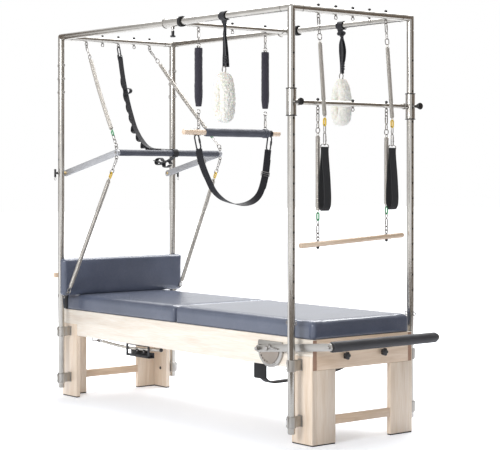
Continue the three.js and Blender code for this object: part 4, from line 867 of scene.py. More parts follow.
def spring_chain(name, start, start_tangent, upper, end, end_tangent, lower, tint, body, knee=None,
                 bow=Vector()):
    """Fittings, a spring and more fittings between the wires of two eyes; the chain may turn at a knee."""
    start, end = Vector(start), Vector(end)
    shapes = chain_shapes()
    if knee:
        first = (Vector(knee) - end).normalized()
        turned = hang_on(shapes, end, EYE_WIRE, first, first.cross(end_tangent).normalized(), lower[:1])
        way = (turned[0] - start).normalized()
        foot_start, foot_gauge, lower = turned[0], turned[1], lower[1:]
        foot_side = (-way).cross(turned[2]).normalized().cross(-way)
    else:
        way = (end - start).normalized()
        foot_start, foot_gauge = end, EYE_WIRE
        foot_side = (-way).cross(end_tangent).normalized()
    top = hang_on(shapes, start, EYE_WIRE, way, way.cross(start_tangent).normalized(), upper)
    foot = hang_on(shapes, foot_start, foot_gauge, -way, foot_side, lower)
    wound(shapes["coil"], top, way, foot, -way, bow=bow)
    show_chain(shapes, name, body, name, tint)


# Heights of the eyes' lowest wire, under the rail, the carrier and the crossbar
RAIL_EYE_Z, CARRIER_EYE_Z, BAR_EYE_Z = 2138.2, 2142.2, 1673.7
PUSH_PIVOT, PUSH_ANGLE, PUSH_REACH = Vector((-POST_X, 0, PUSH_PIVOT_Z)), math.radians(12.3), 553
push_way = Vector((math.cos(PUSH_ANGLE), 0, math.sin(PUSH_ANGLE)))
push_up = Vector((-math.sin(PUSH_ANGLE), 0, math.cos(PUSH_ANGLE)))
bar_axis = PUSH_PIVOT + push_way * PUSH_REACH
ARM_Y, ARM_HALF = 380, 19
SPRING_Y = 236


def across_joint(post_eye, bar_eye):
    """The body of a spring that hangs between the frame and the push-through bar."""
    return "frame", "push_bar", TO_ROW @ post_eye, TO_ROW @ bar_eye


for way, word in SIDES:
    arm_end, arm_eye = bar_axis + Y * way * ARM_Y, Z * (ARM_HALF + 2 * EYE_RADIUS)
    top_eye, bar_top = Vector((-POST_X, way * SPRING_Y, RAIL_EYE_Z)), arm_end + arm_eye
    spring_chain(f"push_spring_upper_{word}", top_eye, Y, [("ring", 24), ("snap", 74), ("ring", 32, 28)],
                 bar_top, Y, [("ring", 30, 26), ("hook", 72), ("link", 38)], GREEN,
                 across_joint(top_eye, bar_top), bow=Vector((-4, 0, -6)))
    # The lower spring's hook leaves its post eye at 30 degrees, and the chain turns where the hook ends
    low_eye, bar_low = Vector((-POST_X + TUBE + 10.5 + 7.8, way * POST_Y, BED_EYE_Z + 4.5)), arm_end - arm_eye
    rise = math.radians(30)
    knee = low_eye + Vector((math.cos(rise), 0, math.sin(rise))) * 60
    spring_chain(f"push_spring_lower_{word}", bar_low, Y, [("snap", 78), ("ring", 28, 24), ("tag", 37)],
                 low_eye, Vector((math.sin(rise), 0, -math.cos(rise))), [("hook", 58), ("ring", 30, 28)],
                 YELLOW, across_joint(low_eye, bar_low), knee)


# Push-through bar
def arc(radius, start, end, steps):
    """Points on an arc round the origin of a plane, between two angles in radians."""
    return [(math.cos(a) * radius, math.sin(a) * radius)
            for a in [start + (end - start) * i / steps for i in range(steps + 1)]]


def flat_arm(bm, pivot, way, up, back, reach, height, inner, thickness, side):
    """A flat bar with round ends, standing between two planes across the table."""
    quarter = math.pi / 2
    outline = [(x - back, z) for x, z in arc(height / 2, quarter, 3 * quarter, 16)]
    outline += [(x + reach, z) for x, z in arc(height / 2, -quarter, quarter, 16)]
    near = -inner if side < 0 else inner + thickness
    prism(bm, outline, pivot + Y * near, way, up, thickness, 1.2, 2)


def foam_roll(name, centre, half, outer, inner, body, node, rim=6, skin=FOAM):
    """A closed-cell foam sleeve with rounded rims and a faint waviness along it."""
    bm = bmesh.new()
    length, count = 2 * half, 12
    waves = [(outer + 0.5 * math.sin(i * 2.3), rim + (length - 2 * rim) * i / count) for i in range(1, count)]
    lathe(bm, [(inner, 0), (outer - rim, 0), (outer - rim * 0.3, rim * 0.3), (outer, rim), *waves,
               (outer, length - rim), (outer - rim * 0.3, length - rim * 0.3), (outer - rim, length),
               (inner, length), (inner, 0)], Vector(centre) - Y * half, Y, 40)
    grip = shown(bm, name, skin, body, node)


bm, chrome, bronze = bmesh.new(), bmesh.new(), bmesh.new()
for way, _ in SIDES:
    out = Y * way
    flat_arm(bm, PUSH_PIVOT, push_way, push_up, 5, PUSH_REACH, 2 * ARM_HALF, 376, 8, way)
    rod(bm, bar_axis + out * 340, bar_axis + out * 377, 16, 32)
    for up in (Z, -Z):
        arm_end = bar_axis + out * ARM_Y
        ring_at(chrome, arm_end + up * (ARM_HALF + EYE_RADIUS), Y, Z)
        lathe(chrome, [(0, 0), (6, 0), (6, 3), (4, 5), (0, 5)], arm_end + up * 14, up, 12)
    lathe(chrome, [(0, 0), (9, 0), (9, 3), (6, 6), (0, 6.5)], bar_axis + out * 384, out, 6)
    pipe(bronze, PUSH_PIVOT + out * 371, PUSH_PIVOT + out * 396.5, 8, 5.6, 32, 1)
shown(bm, "push_bar_arms", ALLOY, "push_bar", "push_bar")
shown(chrome, "push_bar_eyes", CHROME, "push_bar")
shown(bronze, "push_bar_bushes", BRONZE, "push_bar")
foam_roll("push_bar_grip", bar_axis, 366, 18.5, 13, "push_bar", ())


def push_pin(way, name):
    """A pull pin through the post: chrome shaft, collar and cap, and a moulded T handle with a ring."""
    handle, chrome = bmesh.new(), bmesh.new()
    out = Y * way
    head = PUSH_PIVOT + out * 459
    rod(chrome, PUSH_PIVOT + out * 375.8, head, 4.9, 20)
    rod(chrome, PUSH_PIVOT + out * 436, PUSH_PIVOT + out * 441, 9, 20)
    lathe(handle, [(0, 0), (5.5, 0), (7, 4), (6, 15), (7.2, 24), (6, 33), (7, 44), (5.5, 48), (0, 48)],
          head - Z * 24, Z, 20)
    ring_at(chrome, head - Z * 34, X, Z, 9.5, 1.4)
    rod(handle, head - out * 20, head + out * 2, 6.6, 20, 1.5)
    lathe(chrome, [(0, 0), (3.6, 0), (3.6, 1.6), (2, 2.6), (0, 2.8)], head + out * 5, out, 12)
    shown(handle, f"{name}_handle", BLACK, name, name)
    shown(chrome, f"{name}_shaft", CHROME, name)


for way, word in SIDES:
    push_pin(way, f"push_pin_{word}")


# Safety strap
STRAP_ROUTE = [(-1056, 2082), (-1027, 1952), (-987, 1822), (-946, 1719), (-897, 1625), (-826, 1548),
               (-762, 1512), (-680, 1502), (-608, 1499), (-561, 1494)]


def strap_point(x, z, lean=0.0):
    """A point of the strap, which drifts to the far side on its way down the table."""
    return Vector((x, 3 + 0.055 * (x + POST_X) + lean, z))


def strap_points(*points):
    """Points of the strap from pairs of x and z, or with a lean to the far side as well."""
    return [strap_point(*point) for point in points]


WRAP = 22    # from the bar's axis to the middle of the webbing round its grip
bar_x, bar_z = bar_axis.x, bar_axis.z
line = smooth_line(strap_points(
    *STRAP_ROUTE, (bar_x - 8, bar_z + WRAP - 1), (bar_x + 10, bar_z + WRAP - 2.5),
    (bar_x + WRAP - 1, bar_z + 4), (bar_x + 13, bar_z - 18), (bar_x - 8, bar_z - WRAP + 1),
    (bar_x - 34, bar_z - 34, 3), (-600, 1430, 4), (-652, 1422, 2), (-704, 1436)), 6)
body = ("frame", "push_bar", TO_ROW @ strap_point(*STRAP_ROUTE[0]), TO_ROW @ bar_axis)
bm = bmesh.new()
strap(bm, line, Y * 17, 3.4)
shown(bm, "safety_strap_webbing", WEBBING, body, "safety_strap")
bm = bmesh.new()
for i in range(6, 46, 4):
    a, b = line[i], line[i + 3]
    along = (b - a).normalized()
    out = along.cross(Y).normalized()
    if out.x > 0:
        out = -out
    bulge = 9 if i < 20 else 14 + 6 * (i % 8) / 4
    loop = [a, a + (b - a) * 0.15 + out * bulge * 0.8, a + (b - a) * 0.55 + out * bulge * 1.4 - along * 2,
            a + (b - a) * 0.95 + out * bulge * 0.7 + along * 3, b]
    strap(bm, smooth_line([p + out * 2.2 for p in loop], 4), Y * 14, 3)
strap(bm, smooth_line(strap_points((-1003, 1873), (-985, 1884), (-958, 1880), (-944, 1866), (-955, 1852),
                                   (-978, 1848), (-990, 1840)), 4), Y * 11, 2)
for x, z in ((-596, 1408), (-668, 1424)):
    curl = strap_points(*((x + dx, z + dz, 6) for dx, dz in
                          ((34, 6), (8, 26), (-30, 16), (-34, -10), (-4, -18), (26, -4))))
    strap(bm, smooth_line(curl, 5), Y * 13, 3.4)
shown(bm, "safety_strap_daisy_loops", WEBBING, body)
bm = bmesh.new()
top = Vector((-POST_X, 0, RAIL_EYE_Z))
aim = (strap_point(*STRAP_ROUTE[0]) - top).normalized()
wire(bm, oval(top + aim * 26, aim, Y.cross(aim).normalized(), 64, 26), 4, True)
wire(bm, oval(strap_point(-1054, 2074), aim, Y, 16, 34), 2.2, True)
shown(bm, "safety_strap_carabiner", POWDER, body)
bm = bmesh.new()
spot = strap_point(-688, 1500)
block(bm, spot - Vector((17, 19, 5)), spot + Vector((17, 19, 6)), 2.5)
shown(bm, "safety_strap_buckle", BLACK, body)


# Trapeze and sling
TRAPEZE = Vector((carrier.x, 0, 1584))
DOWEL = 16


def bar_wrap(y, reach, start, stop):
    """Points round the trapeze bar, between two angles in degrees."""
    turns = [math.radians(start + (stop - start) * i / 20) for i in range(21)]
    return [TRAPEZE + Y * y + X * (math.cos(a) * reach) + Z * (math.sin(a) * reach) for a in turns]


def trapeze_spring(way, word):
    """A spring in a knitted cover, between snap hooks on the carrier and on the bar's eye."""
    y = way * HANGER_Y
    hooks = chain_shapes()
    end = hang_on(hooks, Vector((TRAPEZE.x, y, CARRIER_EYE_Z)), EYE_WIRE, -Z, X,
                  [("snap", 74), ("ring", 26, 22)])
    metal = hooks["hardware"]
    wire(metal, oval(end[0] + Z, -Z, X, 22, 14), 2, True)
    bar_eye = TRAPEZE + Y * y + Z * (20 + EYE_RADIUS)
    hang_on(hooks, bar_eye + Z * (EYE_RADIUS + 1.5), EYE_WIRE, Z, X, [("snap", 72), ("ring", 24, 20)])
    ring_at(metal, bar_eye, Y, Z)
    shown(metal, f"trapeze_hooks_{word}", CHROME, "trapeze")
    bm = bmesh.new()
    profile = [(4, 5), (4, 2), (11, 0), (15, 0.6), (16.5, 3), (19.5, 26), (22.4, 52), (23, 72), (22.6, 130),
               (22.2, 190), (22, 250), (22, 300), (22, 321), (21, 325), (15, 326), (4, 324), (4, 320)]
    lathe(bm, profile, (TRAPEZE.x, y, 1726), Z, 32)
    bmesh.ops.subdivide_edges(bm, edges=[e for e in bm.edges if abs(e.verts[0].co.z - e.verts[1].co.z) > 6],
                              cuts=5, use_grid_fill=True)
    for v in bm.verts:
        out = Vector((v.co.x - TRAPEZE.x, v.co.y - y, 0))
        if out.length > 4:
            folds = noise.noise(Vector((v.co.x, v.co.y, v.co.z * 0.5)) * 0.09)
            v.co += out.normalized() * (1.2 * folds + 0.25 * math.sin(v.co.z * 0.9))
    shown(bm, f"trapeze_spring_cover_{word}", COVER, "trapeze", f"trapeze_spring_{word}", 60)


def bar_band(bm, y, half, outer, edge):
    """A rubber ring round the trapeze bar."""
    middle = TRAPEZE + Y * y
    pipe(bm, middle - Y * half, middle + Y * half, outer, DOWEL + 0.2, 32, edge)


for way, word in SIDES:
    trapeze_spring(way, word)
    bm = bmesh.new()
    if way < 0:
        for dy in (-8, 8):
            strap(bm, bar_wrap(-HANGER_Y + dy, 18, 80, 285), Y * 5, 3.5)
    else:
        for dy in (-9.5, 9.5):
            bar_band(bm, HANGER_Y + dy, 4.5, 26.5, 1.5)
        bar_band(bm, HANGER_Y, 5, 25, 1)
    shown(bm, f"trapeze_bands_{word}", BLACK if way < 0 else FOAM, "trapeze")
bm = bmesh.new()
lathe(bm, [(0, 0), (DOWEL - 2.5, 0), (DOWEL, 2), (DOWEL, 688), (DOWEL - 2.5, 690), (0, 690)],
      TRAPEZE - Y * 345, Y, 40)
shown(bm, "trapeze_bar_dowel", MAPLE_ACROSS, "trapeze", "trapeze_bar")
foam_roll("trapeze_grip_foam", TRAPEZE + Y * 35, 231, 23, DOWEL + 0.2, "trapeze", "trapeze_grip")

# The width of the sling's webbing runs this way, so that its flat faces the near corner of the foot end
SIDEWAYS = Vector((0.7, 0.714, 0))
SLING_ROUTE = [(-236, 1492), (-229, 1450), (-205, 1386), (-170, 1318), (-135, 1262), (-82, 1218), (-22, 1193),
               (49, 1180), (121, 1188), (177, 1216), (212, 1262), (238, 1340), (250, 1410), (262, 1492)]
line = smooth_line([(TRAPEZE.x, y, z) for y, z in SLING_ROUTE], 6)
acrosses = []
for before, after in zip([line[0], *line], [*line[1:], line[-1]]):
    tangent = (after - before).normalized()
    flat = (SIDEWAYS - tangent * SIDEWAYS.dot(tangent)).normalized()
    acrosses.append((flat * math.cos(0.3) + tangent.cross(flat) * math.sin(0.3)) * 19)
BUCKLES = (9, len(line) - 12)
bm, steel = bmesh.new(), bmesh.new()
strap(bm, line, acrosses, 2.8)
for index in BUCKLES:
    spot = line[index]
    along = (line[index + 1] - spot).normalized()
    second = slice(index - 6, index + 8)
    strap(bm, [p + along.cross(X) * 3.4 for p in line[second]], acrosses[second], 2.6)
    flat = acrosses[index].normalized()
    rim = [spot + along * a + flat * b for a, b in ((-11, -24), (11, -24), (11, 24), (-11, 24))]
    wire(steel, rim, 2.6, True)
    wire(steel, [spot - flat * 24, spot + flat * 24], 2.4)
strap(bm, bar_wrap(-263, 18, 100, 290), Y * 10, 2.2)
strap(bm, bar_wrap(275, 18.6, 0, 360), Y * 11, 2.2)
shown(bm, "sling_webbing", WEBBING, "sling", "sling")
bm = bmesh.new()
for (y, z), end in ((SLING_ROUTE[0], -256), (SLING_ROUTE[-1], 275)):
    top, low = TRAPEZE + Y * end - Z * 15, Vector((TRAPEZE.x, y, z - 4))
    aim = (low - top).normalized()
    side = X.cross(aim).normalized()
    wire(bm, oval((top + low) / 2, aim, side, (low - top).length, 30), 4.2, True)
    rod(bm, top + aim * 26 + side * 15, top + aim * 50 + side * 15, 6, 16)
shown(bm, "sling_carabiners", POWDER, "sling")
shown(steel, "sling_buckles", CHROME, "sling")


# Foot loops
def foot_loop(way, word):
    """A spring from the end rail, and under it a padded loop for a foot."""
    y = way * SPRING_Y
    start, bottom = Vector((POST_X, y, RAIL_EYE_Z)), Vector((1114, y, 1640))
    x = bottom.x
    body = f"foot_loop_{word}"
    shapes = chain_shapes()
    lean = (bottom - start).normalized()
    top = hang_on(shapes, start, EYE_WIRE, lean, X, [("snap", 88), ("ring", 34, 26)])
    low = hang_on(shapes, Vector((x, y, 1502)), 2.6, Z, Y, [("snap", 104), ("tag", 37)])
    wound(shapes["coil"], top, lean, low, Z, radius=11.2, gauge=1.9, pitch=3.7)
    wire(shapes["hardware"], [(x, y + dy, z) for dy, z in ((-26, 1482), (26, 1482), (26, 1494), (16, 1502),
                                                          (-16, 1502), (-26, 1494))], 2.6, True)
    show_chain(shapes, f"foot_loop_spring_{word}", body, f"foot_loop_spring_{word}", YELLOW)
    down = [(5, 1484), (5.5, 1460), (9, 1420), (17, 1350), (22, 1290), (25, 1230), (21, 1190), (10, 1171)]
    loop = [(0, 1489), *down, (0, 1167), *((-dx, z) for dx, z in reversed(down)), (0, 1489)]
    bm = bmesh.new()
    strap(bm, smooth_line([(x + dx, y, z) for dx, z in loop], 5), Y * 22, 5.4)
    strap(bm, smooth_line([(x + dx, y, z) for dx, z in ((5, 1440), (9, 1410), (5, 1380))], 4), Y * 20, 3)
    pad = shown(bm, f"{body}_pad", NEOPRENE, body, body)


for way, word in SIDES:
    foot_loop(way, word)


# Roll-down bar
ROLL_NEAR, ROLL_FAR = Vector((POST_X, -360, 994)), Vector((POST_X, 360, 1030))
ROLL_RADIUS = 14
length = (ROLL_FAR - ROLL_NEAR).length
bm, chrome, caps = bmesh.new(), bmesh.new(), bmesh.new()
rounded = [(9, 0), (12.5, 2), (ROLL_RADIUS, 6)]
lathe(bm, [(0, 0), *rounded, *((r, length - d) for r, d in reversed(rounded)), (0, length)],
      ROLL_NEAR, ROLL_FAR - ROLL_NEAR, 40)
for way, word in SIDES:
    y = way * HANGER_Y
    spot = ROLL_NEAR.lerp(ROLL_FAR, 0.5 + y / 720)
    eyebolt(chrome, caps, spot, ROLL_RADIUS, up=-1)
    spring_chain(f"rolldown_spring_{word}", (POST_X, y, BAR_EYE_Z), Y,
                 [("ring", 24), ("snap", 78), ("ring", 30, 28)],
                 (POST_X, y, spot.z + ROLL_RADIUS + 5 + 2 * EYE_RADIUS), Y,
                 [("ring", 24), ("snap", 74), ("link", 38)], GREEN, "rolldown")
shown(bm, "rolldown_bar_dowel", MAPLE_ACROSS, "rolldown", "rolldown_bar")
shown(chrome, "rolldown_bar_eyes", CHROME, "rolldown")
shown(caps, "rolldown_bar_cap_nuts", BLACK, "rolldown")


# Fleece hanging loops
FLEECE_X, FLEECE_Z = 527, 1754


def fleece_ring(y, body):
    """A thick wool-lined ring: a swept oval, remeshed evenly, with its curls pushed out."""
    bm = bmesh.new()
    middle = Vector((FLEECE_X, y, FLEECE_Z))
    points = []
    for i in range(48):
        turn = 2 * math.pi * (i + 0.5) / 48
        rise = math.sin(turn)
        across = math.copysign(abs(math.cos(turn)) ** 0.8, math.cos(turn))
        points.append(middle + Z * (rise * 108 - 12 * across * across)
                      + X * across * 32 * (1 - 0.15 * max(0, rise) ** 2))
    wire(bm, points, 25, True, 20)
    narrowing = 0.2 if y < 0 else 0.55    # the far loop tapers more towards its ring
    for v in bm.verts:
        up = (v.co.z - FLEECE_Z) / 134
        v.co.y = y + (v.co.y - y) * (1.85 - narrowing * max(0, up))
    piece = even_grid(bm, f"{body}_fleece", 2.2)
    for v, outward in zip(piece.data.vertices, [v.normal.copy() for v in piece.data.vertices]):
        curl = noise.noise(v.co * 75) * 0.6 + noise.noise(v.co * 190) * 0.4
        v.co += outward * curl * 0.006
    padded_piece(piece, FLEECE, body, body)


def loop_webbing(way, y, body):
    """A choke of webbing round the rail, the knot under it and the strap that hangs from it."""
    bm = bmesh.new()
    for reach, lean in ((21, -4), (24.5, 5)):
        ring = [Vector((FLEECE_X + lean, y + c, RAIL_Z + s)) for c, s in arc(reach, 0, 2 * math.pi, 32)]
        strap(bm, ring, X * 22, 2.8)
    strap(bm, [Vector((FLEECE_X, y - 3, z)) for z in (2168, 2155, 2140, 2124)],
          [X * half for half in (23, 19, 12, 7)], 9)
    knot = [(8, -12, 2152), (13, 8, 2143), (5, 13, 2130), (-9, -3, 2126), (-10, -12, 2138), (4, -7, 2150),
            (11, 6, 2134), (4, 0, 2118)]
    if way > 0:
        strap(bm, smooth_line([(FLEECE_X + dx, y + dy, z) for dx, dy, z in knot], 5), X * 13, 5)
    hang = [(5, 2140), (2, 2112), (-2, 2082), (0, 2040), (2, 1990), (1, 1960), (2, 1912)]
    halves = [8, 9, 17, 21, 17, 12, 11] if way > 0 else [7, 8, 10, 13, 16, 18, 20]
    line = smooth_line([(FLEECE_X + dx, y + 0.5 * half, z) for (dx, z), half in zip(hang, halves)], 5)
    spans = smooth_line([(half, 0.35 * half, 0) for half in halves], 5)
    strap(bm, line, spans, 2.6)
    strap(bm, [p - Y * 4 for p in line[8:]], [Vector((s.x * 0.96, -s.y, 0)) for s in spans[8:]], 2.6)
    for z in (1966, 1952, 1938):
        block(bm, (FLEECE_X + 4, y - 8, z - 5), (FLEECE_X + 22, y + 9, z + 5), 3)
    shown(bm, f"{body}_webbing", WEBBING, body)


for way, word in SIDES:
    y, body = way * POST_Y, f"hanging_loop_{word}"
    fleece_ring(y, body)
    loop_webbing(way, y, body)
    bm = bmesh.new()
    wire(bm, oval(Vector((FLEECE_X, y, 1899)), Z, X, 32, 30), 3, True, 10)
    rod(bm, (FLEECE_X - 14, y, 1884), (FLEECE_X + 14, y, 1884), 3.4, 16)
    shown(bm, f"{body}_hardware", CHROME, body)


# Foot bar
FOOT_PIVOT, FOOT_ANGLE, FOOT_REACH = Vector((825, 0, 463)), math.radians(5.5), 479
foot_way = Vector((math.cos(FOOT_ANGLE), 0, math.sin(FOOT_ANGLE)))
foot_up = Vector((-math.sin(FOOT_ANGLE), 0, math.cos(FOOT_ANGLE)))
foot_axis = FOOT_PIVOT + foot_way * FOOT_REACH
PLATE_FACE, PIN_REACH = BED_HALF + 0.3, 70
bm, chrome, caps = bmesh.new(), bmesh.new(), bmesh.new()
for way, _ in SIDES:
    out = Y * way
    flat_arm(bm, FOOT_PIVOT, foot_way, foot_up, 70, FOOT_REACH, 38, 365, 10, way)
    lathe(caps, [(0, 0), (22, 0), (22, 1.5), (0, 1.5)], foot_axis + out * 363.3, out, 40)
    lathe(chrome, [(0, 0), (11, 0), (11, 1.5), (8, 2.2), (8, 5), (5.5, 7), (0, 7.4)], foot_axis + out * 375,
          out, 12)
shown(bm, "footbar_arms", PLATE, "footbar", "footbar")
shown(chrome, "footbar_end_bolts", CHROME, "footbar")
shown(caps, "footbar_end_caps", BLACK, "footbar")
foam_roll("footbar_grip", foot_axis, 363.4, 26.6, 15, "footbar", (), 8, SHADED_FOAM)


def pin_holes():
    """Bores 15 degrees apart for the lock pin, as a tool to carve with."""
    tool = bmesh.new()
    for k in range(6):
        angle = math.pi + FOOT_ANGLE + k * math.pi / 12
        spot = FOOT_PIVOT + (X * math.cos(angle) + Z * math.sin(angle)) * PIN_REACH - Y * (PLATE_FACE + 6)
        rod(tool, spot, spot - Y * 14, 4.6, 20, 0)
    return tool


def half_disc(radius, chord):
    """The lower part of a disc, up to a chord at a height above its centre."""
    lift = math.asin(chord / radius)
    return arc(radius, math.pi - lift, 2 * math.pi + lift, 48)


def quadrant(way, word):
    """A plate and a raised hub on the side rail, a rim line on the hub, and the pivot bolt."""
    def layer(outline, near, thickness, edge, shift=0):
        """A flat piece round the pivot, between two planes that lie the same way on either side."""
        part = bmesh.new()
        start = -near if way < 0 else near + thickness
        prism(part, outline, FOOT_PIVOT + X * shift + Y * start, X, Z, thickness, edge, 2)
        return part

    plate = layer(half_disc(98, 37), PLATE_FACE, 12, 1, 5)
    hub = layer(half_disc(81, 14.8), PLATE_FACE + 12.1, 4, 0.8)
    if way < 0:
        plate, hub = carved(plate, pin_holes()), carved(hub, pin_holes())
    shown(plate, f"footbar_quadrant_{word}_plate", PLATE, "frame", f"footbar_quadrant_{word}")
    shown(hub, f"footbar_quadrant_{word}_hub", QUADRANT, "frame")
    rim = arc(92, math.radians(236), math.radians(304), 20)
    inner = [(x, z + 9) for x, z in arc(86, math.radians(300), math.radians(240), 20)]
    bolt = layer(rim + inner, PLATE_FACE + 11.6, 1.4, 0.3)
    out = Y * way
    rod(bolt, FOOT_PIVOT + out * 336, FOOT_PIVOT + out * 374.6, 7, 24)
    lathe(bolt, [(0, 0), (13, 0), (13, 2), (11.5, 4.2), (0, 4.5)], FOOT_PIVOT + out * 375.3, out, 6)
    shown(bolt, f"footbar_pivot_{word}", CHROME, "frame")


for way, word in SIDES:
    quadrant(way, word)

bm = bmesh.new()
lathe(bm, [(0, 0), (4, 0), (4, 15), (10.5, 15.6), (10.5, 20), (8.5, 21), (8.5, 25), (10.5, 26), (9.5, 28.4),
           (0, 29)], FOOT_PIVOT - foot_way * PIN_REACH - Y * 361.9, -Y, 24)
shown(bm, "footbar_lock_pin_knob", CHROME, "footbar_lock_pin", "footbar_lock_pin")
bm = bmesh.new()
lever_hub = FOOT_PIVOT + foot_way * 30
prism(bm, [(-9, 0), (-5.4, 24), (3.6, 24), (9, 9), (62, -3), (62, -9), (0, -9)], lever_hub - Y * 375.3,
      foot_way, foot_up, 4.6, 0.8, 2)
lathe(bm, [(0, 0), (5, 0), (5, 1.6), (3.4, 2.6), (0, 2.8)], lever_hub - Y * 379.6, -Y, 16)
shown(bm, "footbar_latch_lever", CHROME, "footbar_latch", "footbar_latch")


# Hand knobs
def star_grip(bm, centre, radius, depth):
    """A five-lobed hand knob with a domed face, which looks along X."""
    outline = []
    for i in range(40):
        turn = 2 * math.pi * i / 40
        reach = radius * (0.74 + 0.26 * (0.5 + 0.5 * math.cos(turn * 5)) ** 0.6)
        outline.append((math.cos(turn) * reach, math.sin(turn) * reach))
    prism(bm, outline, centre, Y, Z, depth, 2.4, 3)
    lathe(bm, [(0, 0), (radius * 0.5, 0), (radius * 0.42, 1.6), (0, 2.2)], centre + X * depth, X, 24)


for way, word in SIDES:
    bm = bmesh.new()
    base = Vector((FOOT_END + 0.4, way * 131, 438))
    lathe(bm, [(0, 0), (8, 0), (8, 4), (7, 10.5), (0, 10.5)], base, X, 20)
    star_grip(bm, base + X * 10, 20.5, 16)
    shown(bm, f"star_knob_{word}_grip", BLACK, f"star_knob_{word}", f"star_knob_{word}")

bm = bmesh.new()
for end, _, _ in ENDS:
    for way, _ in SIDES:
        lathe(bm, [(0, 0), (10, 0), (15.5, 3), (16.5, 8), (15, 13), (8, 16), (7, 24.5), (0, 24.5)],
              (end * POST_X, way * POST_Y, CLAMP_HIGH - 54), Z, 24)
shown(bm, "post_clamp_knobs", BLACK, "frame")


# Stored spring, bracket and foot strap under the bed
STORED_Y, STORED_Z = -300, 356
EYE_X, INNER_FACE = -852, -331.5
bm = bmesh.new()
rod(bm, (EYE_X, INNER_FACE, STORED_Z - 3), (EYE_X, INNER_FACE, RAIL_LOW + 0.5), 3, 12)
wire(bm, smooth_line([(EYE_X, INNER_FACE, STORED_Z + 2), (EYE_X, -326, STORED_Z),
                      (EYE_X, STORED_Y - EYE_RADIUS, STORED_Z)], 4), 3)
ring_at(bm, (EYE_X, STORED_Y, STORED_Z), X, Y, EYE_RADIUS, 3)
shown(bm, "underbed_screw_eye", CHROME, "frame")

shapes = chain_shapes()
hook = hang_on(shapes, Vector((EYE_X + EYE_RADIUS, STORED_Y, STORED_Z)), 3, X, Z, [("hook", 46)])
wire(shapes["coil"], oval(hook[0] + X * 5, X, Y, 18, 11), 1.5, True)
coil(shapes["coil"], hook[0] + X * 11, (-200, STORED_Y, STORED_Z), 9, 1.7, 3.3, Z * -14)
shown(shapes["coil"], "underbed_spring_coil", NICKEL, "frame", "underbed_spring")
shown(shapes["hardware"], "underbed_spring_hook", CHROME, "frame")
bm = bmesh.new()
bmesh.ops.create_uvsphere(bm, u_segments=24, v_segments=14, radius=11,
                          matrix=Matrix.Translation((-197, STORED_Y, STORED_Z)))
shown(bm, "underbed_spring_ball", BLACK, "frame")


def bracket_channel():
    """Folded sheet under the near side rail: a screwed flange, a shelf with two ears, and two lips."""
    bm = bmesh.new()
    head, foot, back, front, low = -520, -290, -317.5, -280, 300
    flange, shelf = ((head, back, 364), (foot, back + 3, 470)), ((head, back, low), (foot, front, low + 4))
    ears = [((x, back, low), (x + 16, back + 5.5, 368)) for x in (head, foot - 16)]
    lip = (head, back, low), (foot, back + 5.5, low + 14)
    front_lip = (head, front - 4, low), (foot, front, low + 30)
    for corners in (flange, shelf, *ears, lip, front_lip):
        block(bm, *corners, 0.8)
    for x in (-500, -405, -310):
        lathe(bm, [(0, 0), (6, 0), (5, 2.4), (0, 3)], (x, back + 3, 440), Y, 16)
    shown(bm, "underbed_bracket_channel", POWDER, "frame", "underbed_bracket")


def bracket_rollers():
    """Two grooved rubber rollers on their axles."""
    rollers, chrome = bmesh.new(), bmesh.new()
    for x in (-418, -348):
        lathe(rollers, [(3.2, 0), (12, 0), (12, 4), (9.5, 8), (9.5, 22), (12, 26), (12, 31), (3.2, 31),
                        (3.2, 0)], (x, -314, 334), Y, 28)
        rod(chrome, (x, -315, 334), (x, -280.5, 334), 3, 12)
        lathe(chrome, [(0, 0), (6, 0), (6, 3), (0, 3.4)], (x, -283.5, 334), Y, 6)
    shown(rollers, "underbed_rollers", RUBBER, "frame")
    shown(chrome, "underbed_roller_axles", CHROME, "frame")


bracket_channel()
bracket_rollers()

FOOT_STRAP_X = 704
# Sag of the strap on its way across: half widths of the bed, and shares of its depth
SAG = [(-1, 0), (-1, 0.4), (-0.985, 0.7), (-0.82, 1), (-0.45, 1.02), (0, 1), (0.45, 0.9), (0.82, 0.72),
       (0.985, 0.45), (1, 0.25), (1, 0)]
bm = bmesh.new()
strap(bm, smooth_line([(FOOT_STRAP_X, across * 315, 402 - down * 137) for across, down in SAG], 6), X * 24, 8)
shown(bm, "foot_strap_webbing", WEBBING, "frame", "foot_strap")
bm = bmesh.new()
block(bm, (FOOT_STRAP_X - 48.5, -318.8, 291), (FOOT_STRAP_X + 48.5, -311.5, 374.5), 3.2, 4)
strap(bm, [Vector((660, -320.3, z)) for z in (296, 332, 370)], X * 3, 0.8)
shown(bm, "foot_strap_pad", NEOPRENE, "frame")


# Floor, light and background
def white_to_lens(tree):
    """1 for camera, mirror and transmission rays, 0 for the rays that carry soft light."""
    rays = add(tree, "LightPath")
    seen = add(tree, "Math", {"operation": "MAXIMUM"},
               {0: rays.outputs["Is Camera Ray"], 1: rays.outputs["Is Transmission Ray"]}).outputs[0]
    return add(tree, "Math", {"operation": "MAXIMUM"}, {0: seen, 1: rays.outputs["Is Glossy Ray"]}).outputs[0]


def staged(name, half_sides, matrix, material):
    """A flat sheet in the studio that isn't part of the object."""
    bm = bmesh.new()
    bmesh.ops.create_grid(bm, x_segments=2, y_segments=2, size=1)
    bmesh.ops.transform(bm, matrix=matrix @ Matrix.Diagonal((*half_sides, 1, 1)), verts=bm.verts)
    mesh = bpy.data.meshes.new(name)
    bm.to_mesh(mesh)
    bm.free()
    mesh.materials.append(material)
    made = bpy.data.objects.new(name, mesh)
    scene.collection.objects.link(made)
    return made


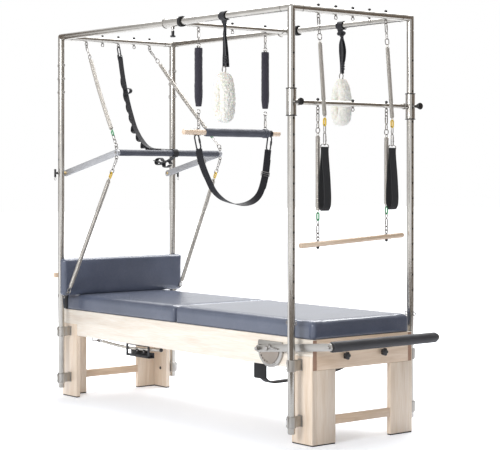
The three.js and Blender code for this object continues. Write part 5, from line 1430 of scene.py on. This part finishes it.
paper, tree, shader = finish("paper_sweep", {"Base Color": colour("#eff2f8"), "Roughness": 0.9,
                                             "Specular IOR Level": 0.1, "Emission Color": colour("#ffffff")})
where = add(tree, "TexCoord")
span = add(tree, "VectorMath", {"operation": "LENGTH"}, {0: where.outputs["Object"]}).outputs["Value"]
fade = add(tree, "MapRange", {"From Min": 1.2, "From Max": 4.5, "To Min": 0.26, "To Max": 1.0},
           {"Value": span})
lift = add(tree, "Math", {"operation": "MULTIPLY"}, {0: white_to_lens(tree), 1: fade.outputs[0]})
tree.links.new(lift.outputs[0], shader.inputs["Emission Strength"])
staged("floor", (40, 40), Matrix(), paper)

# Dark cloths round the object, seen only in metal: they give the tubes their dark edges and undersides
dark_cloth = finish("dark_cloth", {"Base Color": colour("#7d7268"), "Roughness": 1,
                                   "Specular IOR Level": 0})[0]
TO_CAMERA = math.atan2(-math.cos(CAMERA_TURN), math.sin(CAMERA_TURN))
upright = Matrix.Rotation(math.pi / 2, 4, "Y")
for name, swing, distance, height, half_sides, stance in (
        ("flag_left_back", -128, 4.2, 1.6, (2.6, 1.3), upright),
        ("flag_right", 70, 4.2, 1.6, (2.6, 2.3), upright),
        ("flag_right_back", 128, 4.2, 1.6, (2.6, 1.3), upright),
        ("flag_floor", 0, 3.0, 0.01, (1.3, 3), Matrix())):
    turn = Matrix.Rotation(TO_CAMERA + math.radians(swing), 4, "Z")
    flag = staged(name, half_sides, turn @ Matrix.Translation((distance, 0, height)) @ stance, dark_cloth)
    flag.visible_camera = flag.visible_diffuse = flag.visible_shadow = flag.visible_transmission = False

world = bpy.data.worlds.new("studio")
scene.world = world
world.use_nodes = True
tree = world.node_tree
sky = tree.nodes["Background"]
sky.inputs["Color"].default_value = colour("#ffffff")
heading = add(tree, "SeparateXYZ", links={0: add(tree, "TexCoord").outputs["Generated"]}).outputs["X"]
around = add(tree, "MapRange", {"From Min": -1, "From Max": 1, "To Min": 0.9, "To Max": 0.2},
             {"Value": heading})
level = add(tree, "MapRange", {"To Max": 1.0}, {"Value": white_to_lens(tree), "To Min": around.outputs[0]})
tree.links.new(level.outputs[0], sky.inputs["Strength"])


def soft_lamp(name, place, aim, size, power):
    """A rectangular area lamp that faces a point, in metres and watts."""
    lamp = bpy.data.lights.new(name, "AREA")
    lamp.shape = "RECTANGLE"
    lamp.size, lamp.size_y = size
    lamp.energy = power
    holder = bpy.data.objects.new(name, lamp)
    holder.location = place
    holder.rotation_euler = (Vector(aim) - Vector(place)).to_track_quat("-Z", "Y").to_euler()
    scene.collection.objects.link(holder)


soft_lamp("key", (2.1, -5.7, 2.8), (0, 0, 0.7), (2.0, 2.0), 214)
soft_lamp("overhead", (-1.5, 2.0, 4.4), (0, 0, 0), (4.5, 3.0), 320)

scene.view_settings.view_transform = "Standard"
